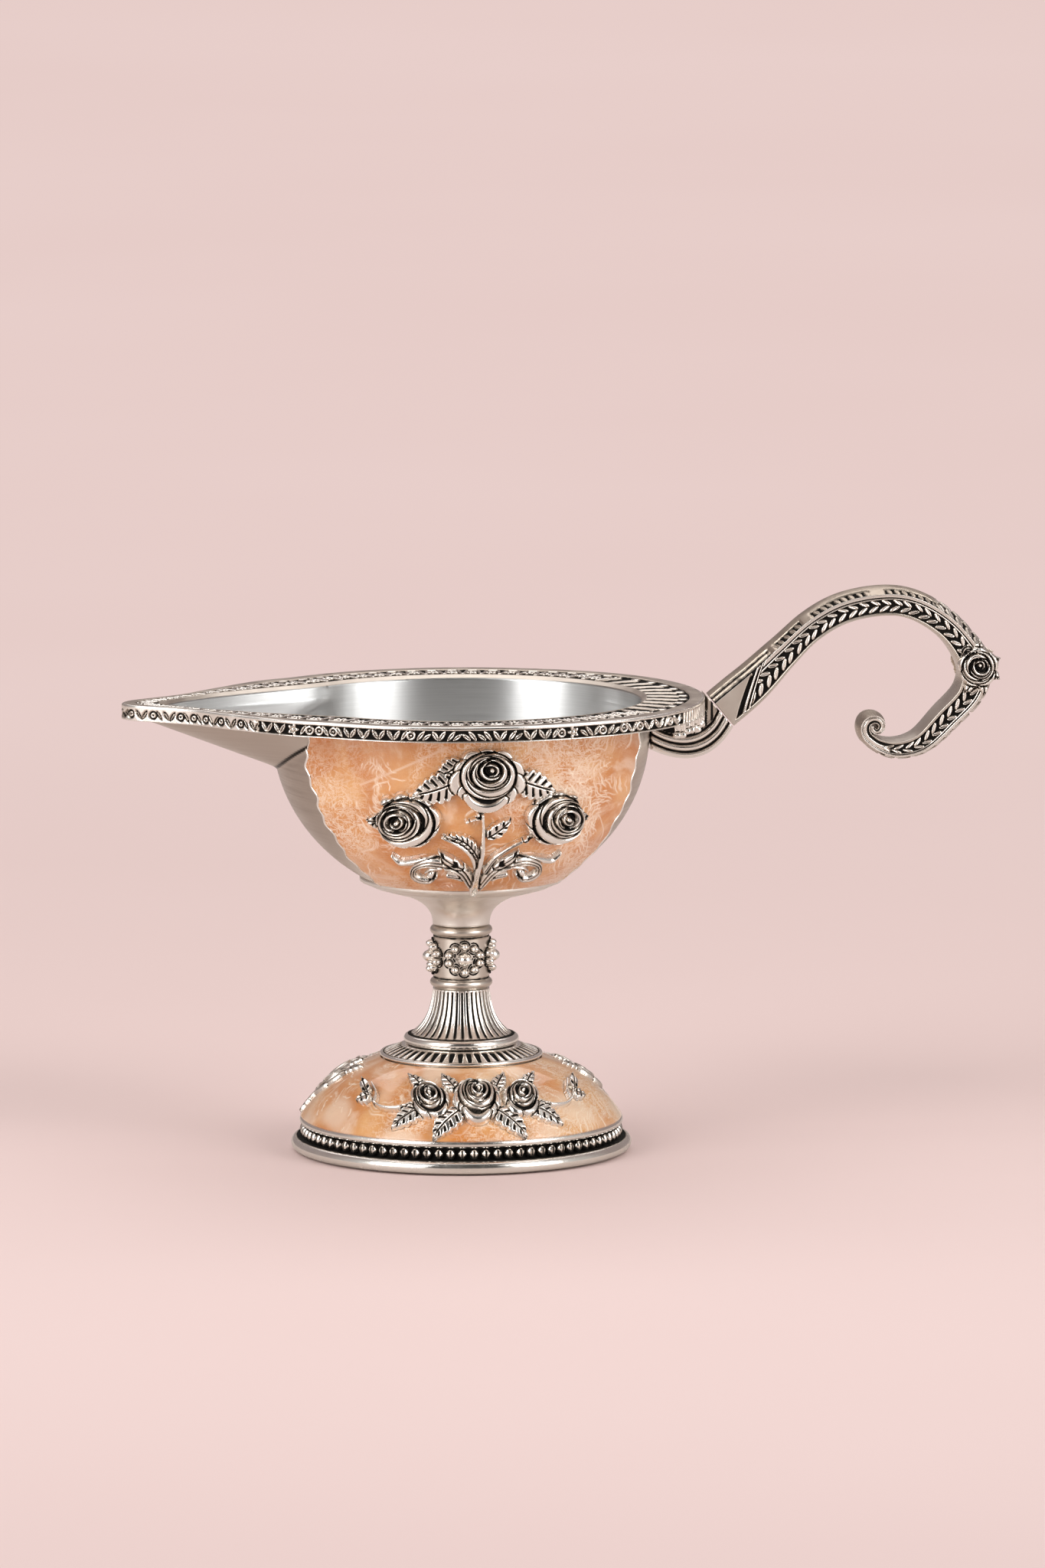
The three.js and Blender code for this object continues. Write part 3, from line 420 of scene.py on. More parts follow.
class Drawing:
    def __init__(self, low, high, cell=CELL):
        across = np.arange(low[0], high[0] + cell, cell)
        up = np.arange(low[1], high[1] + cell, cell)
        self.a, self.u = np.meshgrid(across, up, indexing="ij")
        self.h = np.full(self.a.shape, -SINK)
        self.dark = np.zeros(self.a.shape)

    def off(self, at):
        return self.a - at[0], self.u - at[1]

    def lay(self, depth, height, edge, dark=0.0):
        """Rounded body inside an edge. It covers what is drawn and leaves a black gap round itself."""
        drawn = self.h > -SINK + 1e-6
        gap = smoothstep(depth, -GAP, -GAP / 3) * drawn
        self.h = np.where(drawn, np.maximum(self.h - GAP_DEEP * gap, -SINK * 0.9), self.h)
        self.dark = np.maximum(self.dark, gap)
        inside = depth > 0
        self.h = np.where(inside, self.h + (height - self.h) * rounded(depth, edge), self.h)
        self.dark = np.where(inside, dark, self.dark)

    def ball(self, at, radius, height):
        self.lay(radius - np.hypot(*self.off(at)), height, radius)

    def stem(self, stops, wide, height, ridges=1):
        """Tapering rib along a smooth line, split into ridges by black grooves."""
        line = smooth_line(stops, 6)
        half = np.interp(np.linspace(0, 1, len(line)), np.linspace(0, 1, len(wide)), wide) / 2
        near = np.full(self.a.shape, -9.0)
        across = np.ones(self.a.shape)
        for i in range(len(line) - 1):
            p, d = line[i], line[i + 1] - line[i]
            x, y = self.off(p)
            t = np.clip((x * d[0] + y * d[1]) / (d @ d), 0, 1)
            far = np.hypot(x - t * d[0], y - t * d[1])
            room = lerp(half[i], half[i + 1], t)
            better = room - far > near
            near = np.where(better, room - far, near)
            across = np.where(better, far / room, across)
        lane = (1 + across) / 2 * ridges
        groove = fade(np.abs(lane - np.round(lane)), 0.1, 0.3)
        groove = groove * (lane < ridges - 0.5)
        self.lay(near, height * (1 - 0.5 * groove), 0.4, groove)

    def leaf(self, start, end, wide, height, bend=0.0, veins=6):
        """Leaf of rounded lobes, with black slots between them and along the rib."""
        s, e = np.asarray(start, float), np.asarray(end, float)
        length = np.linalg.norm(e - s)
        d = (e - s) / length
        x, y = self.off(s)
        along = (x * d[0] + y * d[1]) / length
        side = y * d[0] - x * d[1] - bend * length * 4 * along * (1 - along)
        t = np.clip(along, 0.001, 0.999)
        notch = np.exp(-((np.mod((t - 0.14) * veins, 1.0) - 0.5) / 0.2) ** 2)
        half = wide / 2 * np.sin(np.pi * t ** 0.75) ** 0.85 * (1 - 0.16 * notch)
        across = np.abs(side) / np.maximum(half, 1e-3)
        depth = np.where((along > 0) & (along < 1), half - np.abs(side), -9)
        vein = np.abs(np.mod((t - across * 0.14) * veins, 1.0) - 0.5)
        slot = fade(vein, 0.1, 0.24) * smoothstep(across, 0.1, 0.25)
        slot = slot * fade(across, 0.66, 0.86)
        rib = fade(np.abs(side), 0.08, 0.2)
        dark = np.maximum(slot, rib * fade(t, 0.8, 0.9))
        self.lay(depth, height * (1 - 0.2 * across ** 2 - 0.4 * dark), 0.35, dark)

    def petal(self, at, size, angle, half, reach, top):
        """One outer petal of a rose: a sector with a round end, a little hollow."""
        x, y = (far / most for far, most in zip(self.off(at), size))
        r = np.hypot(x, y)
        u = np.mod(np.arctan2(y, x) - np.radians(angle) + np.pi, 2 * np.pi) - np.pi
        u = u / np.radians(half)
        edge = reach * np.sqrt(np.clip(1 - 0.42 * u ** 2, 0.05, 1))
        depth = np.minimum(edge - r, (1 - np.abs(u)) * np.radians(half) * r * 1.5) * size[0]
        inner = fade(r / edge, 0.62, 0.8)
        self.lay(depth, top * (1 - 0.35 * inner), 0.7, inner)

    def crescent(self, at, size, height, thick, facing):
        """Petal's lip: thick towards facing, tapering to two points."""
        away = np.radians(facing)
        x, y = self.off(at)
        outside = oval(x, y, size)
        x, y = x + 0.62 * thick * np.cos(away), y + 0.62 * thick * np.sin(away)
        small = np.subtract(size, 0.38 * thick)
        self.lay(np.minimum(outside, -oval(x, y, small)), height, 0.4)

    def rose(self, at, size, height, outer, lips):
        """Outer petals as (angle, half width, reach, height), then lips as (reach, across, up, facing)."""
        for angle, half, reach, top in outer:
            self.petal(at, size, angle, half, reach, top * height)
        heart = np.multiply(size, lips[0][0])
        middle = np.add(at, np.multiply(size, lips[0][1:3]))
        self.lay(oval(*self.off(middle), heart), height * 0.62, 0.6, 1.0)
        for k, (reach, across, up, facing) in enumerate(lips):
            middle = np.add(at, np.multiply(size, (across, up)))
            top = height * lerp(0.78, 1, k / (len(lips) - 1))
            self.crescent(middle, np.multiply(size, reach), top, LIP * min(size) * reach ** 0.8, facing)
        self.ball(middle, min(size) * reach * 0.45, height)

    def piece(self, name, ground, mirror=1, behind=1.0):
        """Closed mesh of what is drawn, laid on the ground."""
        rows, columns = self.h.shape
        quads = grid_quads(rows, columns, False, False)
        drawn = self.h.ravel() > -SINK + 1e-6
        cells = join_corners(drawn[quads].any(axis=1).reshape(rows - 1, columns - 1))
        used, quads = np.unique(quads[cells], return_inverse=True)
        quads = quads.reshape(-1, 4)
        a, u, h, dark = (field.ravel()[used] for field in (self.a, self.u, self.h, self.dark))
        sides = [ground(a, u, h), ground(a, u, np.full(h.shape, -SINK - 0.1))]
        n = len(used)
        edges = np.concatenate([quads[:, [k, (k + 1) % 4]] for k in range(4)])
        rim = edges[~np.isin(edges @ [n, 1], edges @ [1, n])]
        walls = np.stack([rim[:, 1], rim[:, 0], rim[:, 0] + n, rim[:, 1] + n], axis=1)
        faces = np.vstack([quads, quads[:, ::-1] + n, walls])
        make(name, np.vstack(sides) * [1, mirror, 1], faces, SILVER, np.append(dark, np.full(n, behind)))


# Materials

class Nodes:
    """Short ways to add nodes to the tree of a material or of the world."""

    def __init__(self, owner):
        owner.use_nodes = True
        self.owner = owner
        self.tree = owner.node_tree

    def fill(self, node, inputs):
        """Inputs of a node: numbers, colours or outputs of other nodes."""
        for name, value in inputs.items():
            socket = node.inputs[name]
            if isinstance(value, bpy.types.NodeSocket):
                self.tree.links.new(value, socket)
            else:
                socket.default_value = (*value, 1) if socket.type == "RGBA" else value

    def add(self, kind, output, inputs=None, **settings):
        """New node; returns one of its outputs."""
        node = self.tree.nodes.new(f"ShaderNode{kind}")
        for name, value in settings.items():
            setattr(node, name, value)
        self.fill(node, inputs or {})
        return node.outputs[output]

    def noise(self, scale, detail=4.0, stretch=(1, 1, 1), distortion=0.0, rough=0.5):
        place = self.add("Mapping", "Vector", {"Vector": self.add("TexCoord", "Object"), "Scale": stretch})
        return self.add("TexNoise", "Fac", {"Vector": place, "Scale": scale, "Detail": detail,
                                            "Distortion": distortion, "Roughness": rough})

    def remap(self, value, low, high, to_low=0.0, to_high=1.0):
        ends = {"From Min": low, "From Max": high, "To Min": to_low, "To Max": to_high}
        return self.add("MapRange", "Result", {"Value": value, **ends}, interpolation_type="SMOOTHSTEP")

    def math(self, operation, a, b=0.0):
        return self.add("Math", "Value", {0: a, 1: b}, operation=operation)

    def blend(self, factor, a, b):
        return self.add("Mix", 2, {0: factor, 6: a, 7: b}, data_type="RGBA")

    def ridge(self, value, wide):
        """Thin lines where a noise crosses its middle."""
        return self.remap(self.math("ABSOLUTE", self.math("SUBTRACT", value, 0.5)), 0.0, wide, 1.0, 0.0)

    def shade(self):
        return self.add("Attribute", "Fac", attribute_name="shade")


class Surface(Nodes):
    def __init__(self, name, roughness, metallic):
        super().__init__(bpy.data.materials.new(name))
        self.paint({"Roughness": roughness, "Metallic": metallic})

    def paint(self, inputs):
        self.fill(self.tree.nodes["Principled BSDF"], inputs)

    def bump(self, value, depth):
        raised = {"Distance": depth, "Strength": 0.6, "Height": value}
        self.paint({"Normal": self.add("Bump", "Normal", raised)})


def antique_silver(name, satin):
    """Silver plate, bright where it is rubbed, tan where it is plain and black where the patina stays. The
    tan is painted reflection and shade in the base colour.
    """
    s = Surface(name, 0.2, 1.0)
    shade = s.shade()
    dirt = s.remap(s.noise(900, 3.0), 0.2, 0.8, -0.16, 0.16)
    dark = s.remap(s.math("ADD", shade, dirt), 0.4, 0.75)
    rubbed = s.blend(s.noise(90, 3.0), *RUBBED)
    # The tan of plain parts is painted reflection and shade in the base colour.
    warm = s.blend(s.remap(shade, 0.05, 0.4), rubbed, PAINTED_TAN_REFLECTION)
    rough = s.remap(s.noise(260), 0.3, 0.7, 0.14, 0.28)
    plain = s.math("ADD", s.math("MULTIPLY", dark, 0.3), s.remap(shade, 0.08, 0.25, satin, satin + 0.14))
    s.paint({
        "Base Color": s.blend(dark, warm, PATINA),
        "Roughness": s.math("ADD", rough, plain),
        "Metallic": s.remap(dark, 0, 1, 1.0, 0.0),
        "Specular IOR Level": s.remap(dark, 0, 1, 0.5, 0.04),
    })
    s.bump(s.noise(1500), 0.00002)
    return s.owner


def polished_silver():
    """Silver plate brushed round the bowl: bright inside, tan outside as a painted reflection, and a dark
    line of painted shade in its crease.
    """
    s = Surface("polished_silver", 0.16, 1.0)
    shade = s.shade()
    streaks = s.noise(60, 5.0, (1, 1, 60))
    # Outside colour: a tan painted reflection.
    warm = s.blend(s.noise(45, 3.0), *OUTSIDE_PAINTED_REFLECTION)
    tone = s.blend(s.remap(shade, 0.05, 0.3), s.blend(streaks, *BRUSHED), warm)
    s.paint({
        # Black along the spout's crease: painted shade.
        "Base Color": s.blend(s.remap(shade, 0.4, 0.9), tone, CREASE_PAINTED_SHADE),
        "Roughness": s.remap(streaks, 0.3, 0.7, 0.3, 0.42),
        "Tangent": s.add("Tangent", "Tangent", direction_type="RADIAL", axis="Z"),
        "Anisotropic": 0.95,
        "Anisotropic Rotation": 0.25,
    })
    s.bump(streaks, 0.000012)
    return s.owner


def pearl_enamel():
    """Peach enamel with clouds of orange, fibres and brush marks of pearl under a clear coat."""
    s = Surface("pearl_enamel", 0.3, 0.0)
    clouds = s.remap(s.noise(55, 5.0, distortion=1.2), 0.35, 0.68)
    haze = s.remap(s.noise(70, 6.0, (1, 1, 1.4), 1.5, 0.6), 0.5, 0.72, 0.0, 0.45)
    fine = s.ridge(s.noise(210, 7.0, (1, 1, 2.5), 2.2, 0.6), 0.045)
    cross = s.ridge(s.noise(260, 6.0, (2.2, 1, 0.7), 3.0, 0.6), 0.035)
    where = s.remap(s.noise(42, 3.0, distortion=0.6), 0.42, 0.62, 0.05, 0.75)
    fibres = s.math("MULTIPLY", s.math("MAXIMUM", fine, cross), where)
    pearl = s.math("MAXIMUM", s.shade(), s.math("MAXIMUM", fibres, haze))
    s.paint({
        "Base Color": s.blend(pearl, s.blend(clouds, *ORANGE_AND_PEACH), PEARL_WHITE),
        "Coat Weight": 0.8,
        "Coat Roughness": 0.06,
    })
    s.bump(fine, 0.00003)
    return s.owner


def two_tone(name, tones, roughness, metallic, grain, depth):
    """Plain material with grain of two tones, given as noise's scale, detail and stretch."""
    s = Surface(name, roughness, metallic)
    tone = s.noise(*grain)
    s.paint({"Base Color": s.blend(tone, *tones)})
    s.bump(tone, depth)
    return s.owner


def brush_marks(across, up, swirls, seed, spots=()):
    """Pearl from 0 to 1 on the enamel: bundles of thin brushed arcs, mostly about the spots."""
    rng = np.random.default_rng(seed)
    low = np.array([across.min(), up.min()])
    high = np.array([across.max(), up.max()])
    pearl = np.zeros(across.shape)
    for k in range(swirls):
        radius = rng.uniform(1.5, 9)
        facing = rng.uniform(0, 2 * np.pi)
        centre = rng.uniform(low, high)
        if spots and k % 4:
            place, spread = spots[k % len(spots)]
            centre = rng.normal(place, spread)
        centre = centre + radius * np.array([np.cos(facing), np.sin(facing)])
        x, y = across - centre[0], up - centre[1]
        r = np.hypot(x, y)
        turn = np.mod(np.arctan2(y, x) - facing, 2 * np.pi) - np.pi
        for _ in range(rng.integers(5, 10)):
            reach = radius + rng.normal(0, 0.9)
            sweep = rng.uniform(0.6, 2.4) / radius
            off = np.abs(turn - rng.normal(0, 1.0) / radius)
            line = np.exp(-((r - reach - 0.12 * np.sin(turn * radius * 3)) / rng.uniform(0.08, 0.15)) ** 2)
            line = line * fade(off, sweep / 2, sweep)
            pearl = np.maximum(pearl, rng.uniform(0.35, 1.0) * line)
    return pearl


SILVER = antique_silver("antique_silver", 0.0)
SATIN = antique_silver("satin_silver", 0.16)
POLISHED = polished_silver()
PEARL = pearl_enamel()
FELT = two_tone("felt", FELT_TONES, 0.95, 0.0, (2500, 6.0), 0.0002)


# Foot

def dome_arc():
    """Middle, radius and angles of the dome's section."""
    low = np.array([RING_R - DOME_EDGE, RING_TOP])
    high = np.array([DOME_TOP_R, FOOT_TOP])
    chord = np.linalg.norm(low - high)
    radius = (chord ** 2 / 4 + DOME_BULGE ** 2) / (2 * DOME_BULGE)
    down = (low - high) / chord
    middle = (low + high) / 2 + np.array([down[1], -down[0]]) * (radius - DOME_BULGE)
    start, end = (np.arctan2(*(p - middle)[::-1]) for p in (low, high))
    return middle, radius, start, end


DOME_MIDDLE, DOME_RADIUS, DOME_START, DOME_END = dome_arc()


def dome_point(t, height):
    angle = lerp(DOME_START, DOME_END, t)
    r = DOME_MIDDLE[0] + (DOME_RADIUS + height) * np.cos(angle)
    return r, DOME_MIDDLE[1] + (DOME_RADIUS + height) * np.sin(angle)


def dome_line(height, count):
    return np.stack(dome_point(np.linspace(0, 1, count), height), axis=1)


def foot():
    low, pad_r, pad_top = FOOT_LOW[2], PAD_HIGH[1] + PAD_GAP, PAD_HIGH[2] + 0.1
    roll = ROLL_H / 2
    ring = RING_H / 2
    inner = dome_line(-ENAMEL - LAID, 12)
    wide, narrow = FOOT_HOLLOW
    profile = np.vstack([
        straight((pad_r, low), (FOOT_R - roll, low), 4),
        arc((FOOT_R - roll, low + roll), roll, -84, 84, 16),
        straight((FOOT_R - roll, ROLL_TOP), (COVE_R, ROLL_TOP), 6),
        straight((COVE_R, ROLL_TOP + 0.1), (COVE_R, COVE_TOP - 0.1), 6),
        straight((COVE_R, COVE_TOP), (RING_R - ring, COVE_TOP), 4),
        arc((RING_R - ring, COVE_TOP + ring), ring, -84, 96, 14),
        inner,
        straight((inner[-1][0] - 0.3, FOOT_TOP), (STEM_BORE, FOOT_TOP), 4),
        straight((STEM_BORE, FOOT_TOP - 2), (narrow, FOOT_TOP - 2), 4),
        straight((wide, RING_TOP - 2), (wide, pad_top), 4),
        [(pad_r, pad_top)],
    ])
    r, z = profile.T
    cove = smoothstep(z, ROLL_TOP - 0.25, ROLL_TOP) * fade(z, COVE_TOP, COVE_TOP + 0.12)
    cove = cove * fade(r, FOOT_R - 1.3, FOOT_R - 0.6)
    # The foot's plain surfaces take a faint tan, a painted reflection; the cove's black is patina.
    lathe("foot", profile, 200, SILVER, dark=np.maximum(cove, 0.1))


def foot_enamel():
    profile = np.vstack([dome_line(0, 90), dome_line(-ENAMEL, 10)[::-1]])

    def pooled(angle, r, z):
        wave = np.sin(3 * angle + 0.21 * z) * np.sin(5 * angle - 0.4 * z) + np.sin(11 * angle + z)
        return r + 0.04 * wave, z

    def marks(angle, r, z):
        wash = np.sin(3 * angle + 0.4 * z) + np.sin(7 * angle - 0.6 * z + 1) + np.sin(13 * angle + 0.5 * z)
        across, up = np.broadcast_arrays(angle * DOME_TOP_R * 1.6, (FOOT_R - r) * 1.2)
        lines = brush_marks(across, up, swirls=120, seed=11)
        return np.maximum(lines, 0.5 * smoothstep(wash, -0.4, 2.2))

    lathe("foot_enamel", profile, 900, PEARL, pooled, marks)


def foot_beading():
    """Tall narrow beads with a black slit, side by side in the cove."""
    mid = (ROLL_TOP + COVE_TOP) / 2
    across, deep, tall = BEAD_HALF
    rows, columns = 11, 20
    lift = column(-np.pi / 2 + 0.12, np.pi / 2 - 0.12, rows)
    turn = np.linspace(0, 2 * np.pi, columns, endpoint=False)
    ball = polar(np.cos(lift), turn, np.sin(lift)).reshape(-1, 3)
    cap = cap_quads(columns)
    quads = np.vstack([grid_quads(rows, columns, False, True), cap, cap[:, ::-1] + len(ball) - columns])
    points = []
    for k in range(BEADS):
        angle = 2 * np.pi * (k + 0.5) / BEADS
        out = np.array([np.cos(angle), np.sin(angle), 0])
        tangent = np.array([-out[1], out[0], 0])
        middle = out * (COVE_R + 0.35) + np.array([0, 0, mid])
        bead = middle + ball[:, :1] * (tangent * across) + ball[:, 1:2] * (out * deep)
        points.append(bead + ball[:, 2:] * np.array([0, 0, tall]))
    points = np.vstack(points)
    quads = np.vstack([quads + k * len(ball) for k in range(BEADS)])
    x, y, z = points.T
    part = np.mod(np.arctan2(y, x) * BEADS / (2 * np.pi), 1.0) - 0.5
    slit = fade(np.abs(part), 0.06, 0.14) * (np.abs(z - mid) < tall * 0.55)
    shade = np.maximum(slit, fade(np.hypot(x, y), COVE_R + 0.2, COVE_R + 0.5))
    make("foot_beading", points, quads, SILVER, shade)


def dome_ground(turn):
    def ground(across, up, height):
        r, z = dome_point(up / ARC_DRAWN, LAID + height)
        on_enamel, _ = dome_point(up / ARC_DRAWN, 0)
        return polar(r, -np.pi / 2 + across / on_enamel + turn, z)

    return ground


CENTRE_BLOOM = [
    (92, 22, 0.95, 0.42), (122, 24, 1.0, 0.46), (58, 24, 1.0, 0.46), (152, 26, 0.94, 0.44),
    (22, 28, 1.0, 0.5), (190, 34, 1.0, 0.52), (-14, 28, 1.0, 0.52), (-46, 26, 0.95, 0.48),
    (-142, 24, 0.9, 0.44), (-96, 50, 1.0, 0.6),
]
CENTRE_LIPS = [
    (0.69, 0.01, 0.12, 100), (0.69, 0.01, 0.12, 40), (0.69, 0.0, 0.12, 165), (0.68, 0.0, 0.12, 225),
    (0.60, 0.06, 0.13, -40), (0.47, 0.04, 0.19, 220), (0.40, 0.08, 0.21, -30), (0.28, 0.05, 0.27, 215),
    (0.19, 0.08, 0.29, 20),
]
SIDE_BLOOM = [
    (76, 32, 0.92, 0.4), (40, 32, 0.98, 0.42), (4, 34, 1.0, 0.45), (-36, 36, 0.98, 0.46),
    (-76, 36, 1.0, 0.48), (120, 36, 0.98, 0.46), (-118, 36, 1.0, 0.5), (204, 34, 0.98, 0.5),
    (165, 38, 1.0, 0.56),
]
SIDE_LIPS = [
    (0.84, 0.07, 0.0, 95), (0.84, 0.07, 0.0, 185), (0.82, 0.09, 0.0, 265), (0.62, 0.24, 0.02, 190),
    (0.55, 0.31, 0.03, 290), (0.43, 0.33, 0.03, 195), (0.36, 0.36, 0.05, 40), (0.22, 0.34, 0.04, 210),
]
ROUND_BLOOM = [(72 * k + 18, 46, 1.0, 0.5 + 0.07 * (k % 2)) for k in range(5)]
SMALL_LIPS = [
    (0.74, 0.0, 0.06, 225), (0.70, 0.03, 0.08, -40), (0.66, 0.02, 0.08, 90), (0.52, 0.0, 0.14, 240),
    (0.40, 0.06, 0.18, -20), (0.26, 0.03, 0.2, 200),
]
LOOSE_LIPS = [
    (0.78, -0.02, -0.02, 240), (0.70, 0.08, 0.06, -30), (0.64, -0.1, 0.02, 170), (0.56, -0.06, 0.12, 100),
    (0.5, 0.1, -0.05, 320), (0.42, 0.12, 0.0, 250), (0.24, 0.06, 0.12, 60),
]


def foot_spray(index):
    """Three roses with their leaves, and at the front two twigs that curl up to buds."""
    d = Drawing((-26.0, -0.4), (26.0, 18.5))
    tall, bloom = (0.25, 0.75) if index else (0.8, 1.7)
    for side in (-1, 1):
        if index == 0:
            d.stem([(side * 10.6, 8.4), (side * 15.4, 6.4), (side * 19.8, 6.6), (side * 22.0, 9.4)],
                   (1.0, 0.85, 0.8), tall)
            d.stem([(side * 20.4, 7.2), (side * 20.0, 9.6), (side * 21.2, 11.6)], (0.8, 0.7), tall)
            d.leaf((side * 21.8, 8.8), (side * 24.6, 12.6), 3.2, tall, 0.0, 2)
            d.leaf((side * 21.6, 8.6), (side * 25.2, 6.8), 2.4, tall, 0.0, 3)
            d.leaf((side * 9.4, 7.2), (side * 17.0, 1.6), 3.8, tall, side * 0.05)
        d.leaf((side * 2.4, 7.0), (side * 9.0, -0.2), 4.6, tall, side * 0.06)
        d.leaf((side * 3.4, 11), (side * 6.0, 16.2), 3.4, tall, 0.0, 5)
        d.leaf((side * 9.6, 11.2), (side * 12.8, 15.4), 3.4, tall, side * 0.08, 5)
        d.rose((side * 8.8, 9.0), (3.9, 4.7), bloom, ROUND_BLOOM, SMALL_LIPS)
    d.rose((0, 9.0), (4.7, 5.8), bloom * 1.3, CENTRE_BLOOM, CENTRE_LIPS)
    # The sprays at the sides and back are painted darker than the front one: painted shade.
    if index:
        d.dark = np.maximum(d.dark, 0.22)
    d.piece(f"foot_spray_{index + 1}", dome_ground(2 * np.pi * index / 3))


# Stem

def gadroon_ring():
    low, top, lip_r = LIP_LOW[2], LIP_HIGH[2], LIP_HIGH[0]
    lip = 0.4
    profile = np.vstack([
        straight((STEM_BORE, low), (lip_r - lip, low), 4),
        arc((lip_r - lip, low + lip), lip, -80, 96, 12),
        straight((lip_r - 0.7, low + 2 * lip - 0.05), (LOBE_TOP_R, top), 16),
        straight((LOBE_TOP_R - 0.6, top), (STEM_BORE, top), 4),
    ])

    def groove(angle, r):
        wave = np.abs(np.sin(LOBES * angle / 2))
        slope = smoothstep(r, LOBE_TOP_R - 0.1, LOBE_TOP_R + 0.5)
        slope = slope * fade(r, lip_r - 1.0, lip_r - 0.6)
        wide = lerp(1.25, 0.5, (r - LOBE_TOP_R) / (lip_r - LOBE_TOP_R))
        return slope * fade(wave, wide * 0.5, wide)

    def lobes(angle, r, z):
        return r, z - LOBE_DEEP * groove(angle, r)

    def dark(angle, r, z):
        return 1.3 * groove(angle, r) + fade(np.abs(r - lip_r + 0.65), 0.02, 0.2)

    lathe("gadroon_ring", profile, LOBES * 14, SILVER, lobes, dark)


def fluted_cone():
    low, top, ring_r = CONE_LOW[2], CONE_HIGH[2], CONE_HIGH[0]
    ring = CONE_RING_H / 2
    rise = np.linspace(0, top - low - CONE_RING_H, 60)
    flare = CONE_TOP_R + (CONE_FOOT_R - CONE_TOP_R) * np.exp(-rise / CONE_FLARE)
    profile = np.vstack([
        straight((STEM_BORE, low), (ring_r - ring, low), 4),
        arc((ring_r - ring, low + ring), ring, -86, 86, 16),
        np.stack([flare, low + CONE_RING_H + rise], axis=1),
        straight((CONE_TOP_R - 0.5, top), (STEM_BORE, top), 4),
    ])
    start = low + CONE_RING_H

    def groove(angle, r, z):
        wave = np.abs(np.cos(FLUTES * angle / 2))
        on = smoothstep(z, start + 0.05, start + 0.5) * fade(z, top - 0.5, top - 0.1)
        return fade(wave, 0.3, 0.8) * on * (r > CONE_TOP_R - 0.3)

    def flutes(angle, r, z):
        return r - FLUTE_DEEP * groove(angle, r, z), z

    def dark(angle, r, z):
        foot_line = fade(np.abs(z - start), 0.05, 0.3) * (r < ring_r - 0.8)
        return 1.25 * smoothstep(groove(angle, r, z), 0.25, 0.9) + foot_line

    lathe("fluted_cone", profile, FLUTES * 16, SILVER, flutes, dark)


def stem_collar():
    low, top, ring_r = COLLAR_LOW[2], COLLAR_HIGH[2], COLLAR_HIGH[1]
    ring = COLLAR_RING_H / 2
    bead = ring * 0.8
    profile = np.vstack([
        straight((STEM_BORE, low), (COLLAR_R - 0.2, low), 4),
        arc((ring_r - bead, low + ring), bead, -75, 75, 14),
        straight((COLLAR_R, low + 2 * ring), (COLLAR_R, top - 2 * ring), 20),
        arc((ring_r - bead, top - ring), bead, -75, 75, 14),
        straight((COLLAR_R - 0.2, top), (STEM_BORE, top), 4),
    ])

    def dark(angle, r, z):
        line = np.minimum(np.abs(z - low - 2 * ring), np.abs(z - top + 2 * ring))
        # Dark lines where the rings meet the neck; everywhere else a tan of 0.26, a painted reflection.
        return np.maximum(fade(line, 0.05, 0.3) * (r < ring_r - 0.2) * 0.9, 0.26)

    lathe("stem_collar", profile, 96, SILVER, dark=dark)


def berry_cluster(index):
    """Berries round a large one, on a black patch of the collar."""
    mid = (COLLAR_LOW[2] + COLLAR_HIGH[2]) / 2
    d = Drawing((-4.4, -3.8), (4.4, 3.8), 0.08)
    turn = 2 * np.pi * (np.arange(BERRIES) + 0.5) / BERRIES
    berries = list(zip(BERRY_RING[0] * np.cos(turn), BERRY_RING[1] * np.sin(turn)))
    d.lay((1 - np.hypot(d.a / 3.2, d.u / 2.6)) * 3, 0.1, 0.3, 1.0)
    for berry in berries:
        d.lay(1.2 - np.hypot(*d.off(berry)), 0.12, 0.2, 1.0)
    for berry in berries:
        d.ball(berry, BERRY_R, 1.2)
    d.ball((0, 0), BERRY_HEART_R, 1.8)

    def ground(across, up, height):
        angle = -np.pi / 2 + across / COLLAR_R + np.pi / 2 * index
        return polar(COLLAR_R + 0.25 + height, angle, mid + up)

    d.piece(f"berry_cluster_{index + 1}", ground)


def bezier(points, count):
    t = column(0, 1, count)
    p = [np.asarray(q, float) for q in points]
    while len(p) > 1:
        p = [lerp(a, b, t) for a, b in zip(p, p[1:])]
    return p[0]


def bowl_seat():
    low, top, lip_r = SEAT_LOW[2], SEAT_HIGH[2], SEAT_HIGH[1]
    dish = low + NECK_H
    profile = np.vstack([
        straight((STEM_BORE, low), (NECK_R - 0.2, low), 4),
        bezier([(NECK_R, low), (NECK_R, low + NECK_H * 0.5),
                (lerp(NECK_R, DISH_R, 0.35), low + NECK_H * 0.75), (DISH_R, dish)], 26),
        bezier([(DISH_R, dish), (lerp(DISH_R, lip_r, 0.5), dish + 0.75), (lip_r, top - 0.8)], 16)[1:],
        arc((lip_r - 0.32, top - 0.32), 0.32, -10, 170, 10),
        straight((lip_r - 0.9, top - 0.6), (17.0, BOWL_BASE + 0.3), 4),
        straight((15.0, BOWL_BASE - 0.1), (STEM_BORE, BOWL_BASE - 0.1), 4),
    ])

    def dark(angle, r, z):
        inner = fade(np.hypot(r - lip_r + 0.9, z - top + 0.5), 0.2, 0.7)
        # The seat is tan all over, a painted reflection in the base colour.
        return np.maximum(inner, 0.15)

    lathe("bowl_seat", profile, 160, SATIN, dark=dark)


# Bowl

def ellipse_at(z, grow=0.0):
    drop = np.maximum(BOWL_MID - z, 0) / (BOWL_C + grow)
    return (BOWL_A + grow) * np.sqrt(np.maximum(1 - drop ** 2, 0))


def squash_at(z, grow=0.0):
    t = smoothstep(z, BOWL_BASE + BOWL_ROUND_H, BOWL_MID)
    return lerp(1, (BOWL_B + grow) / (BOWL_A + grow), t)


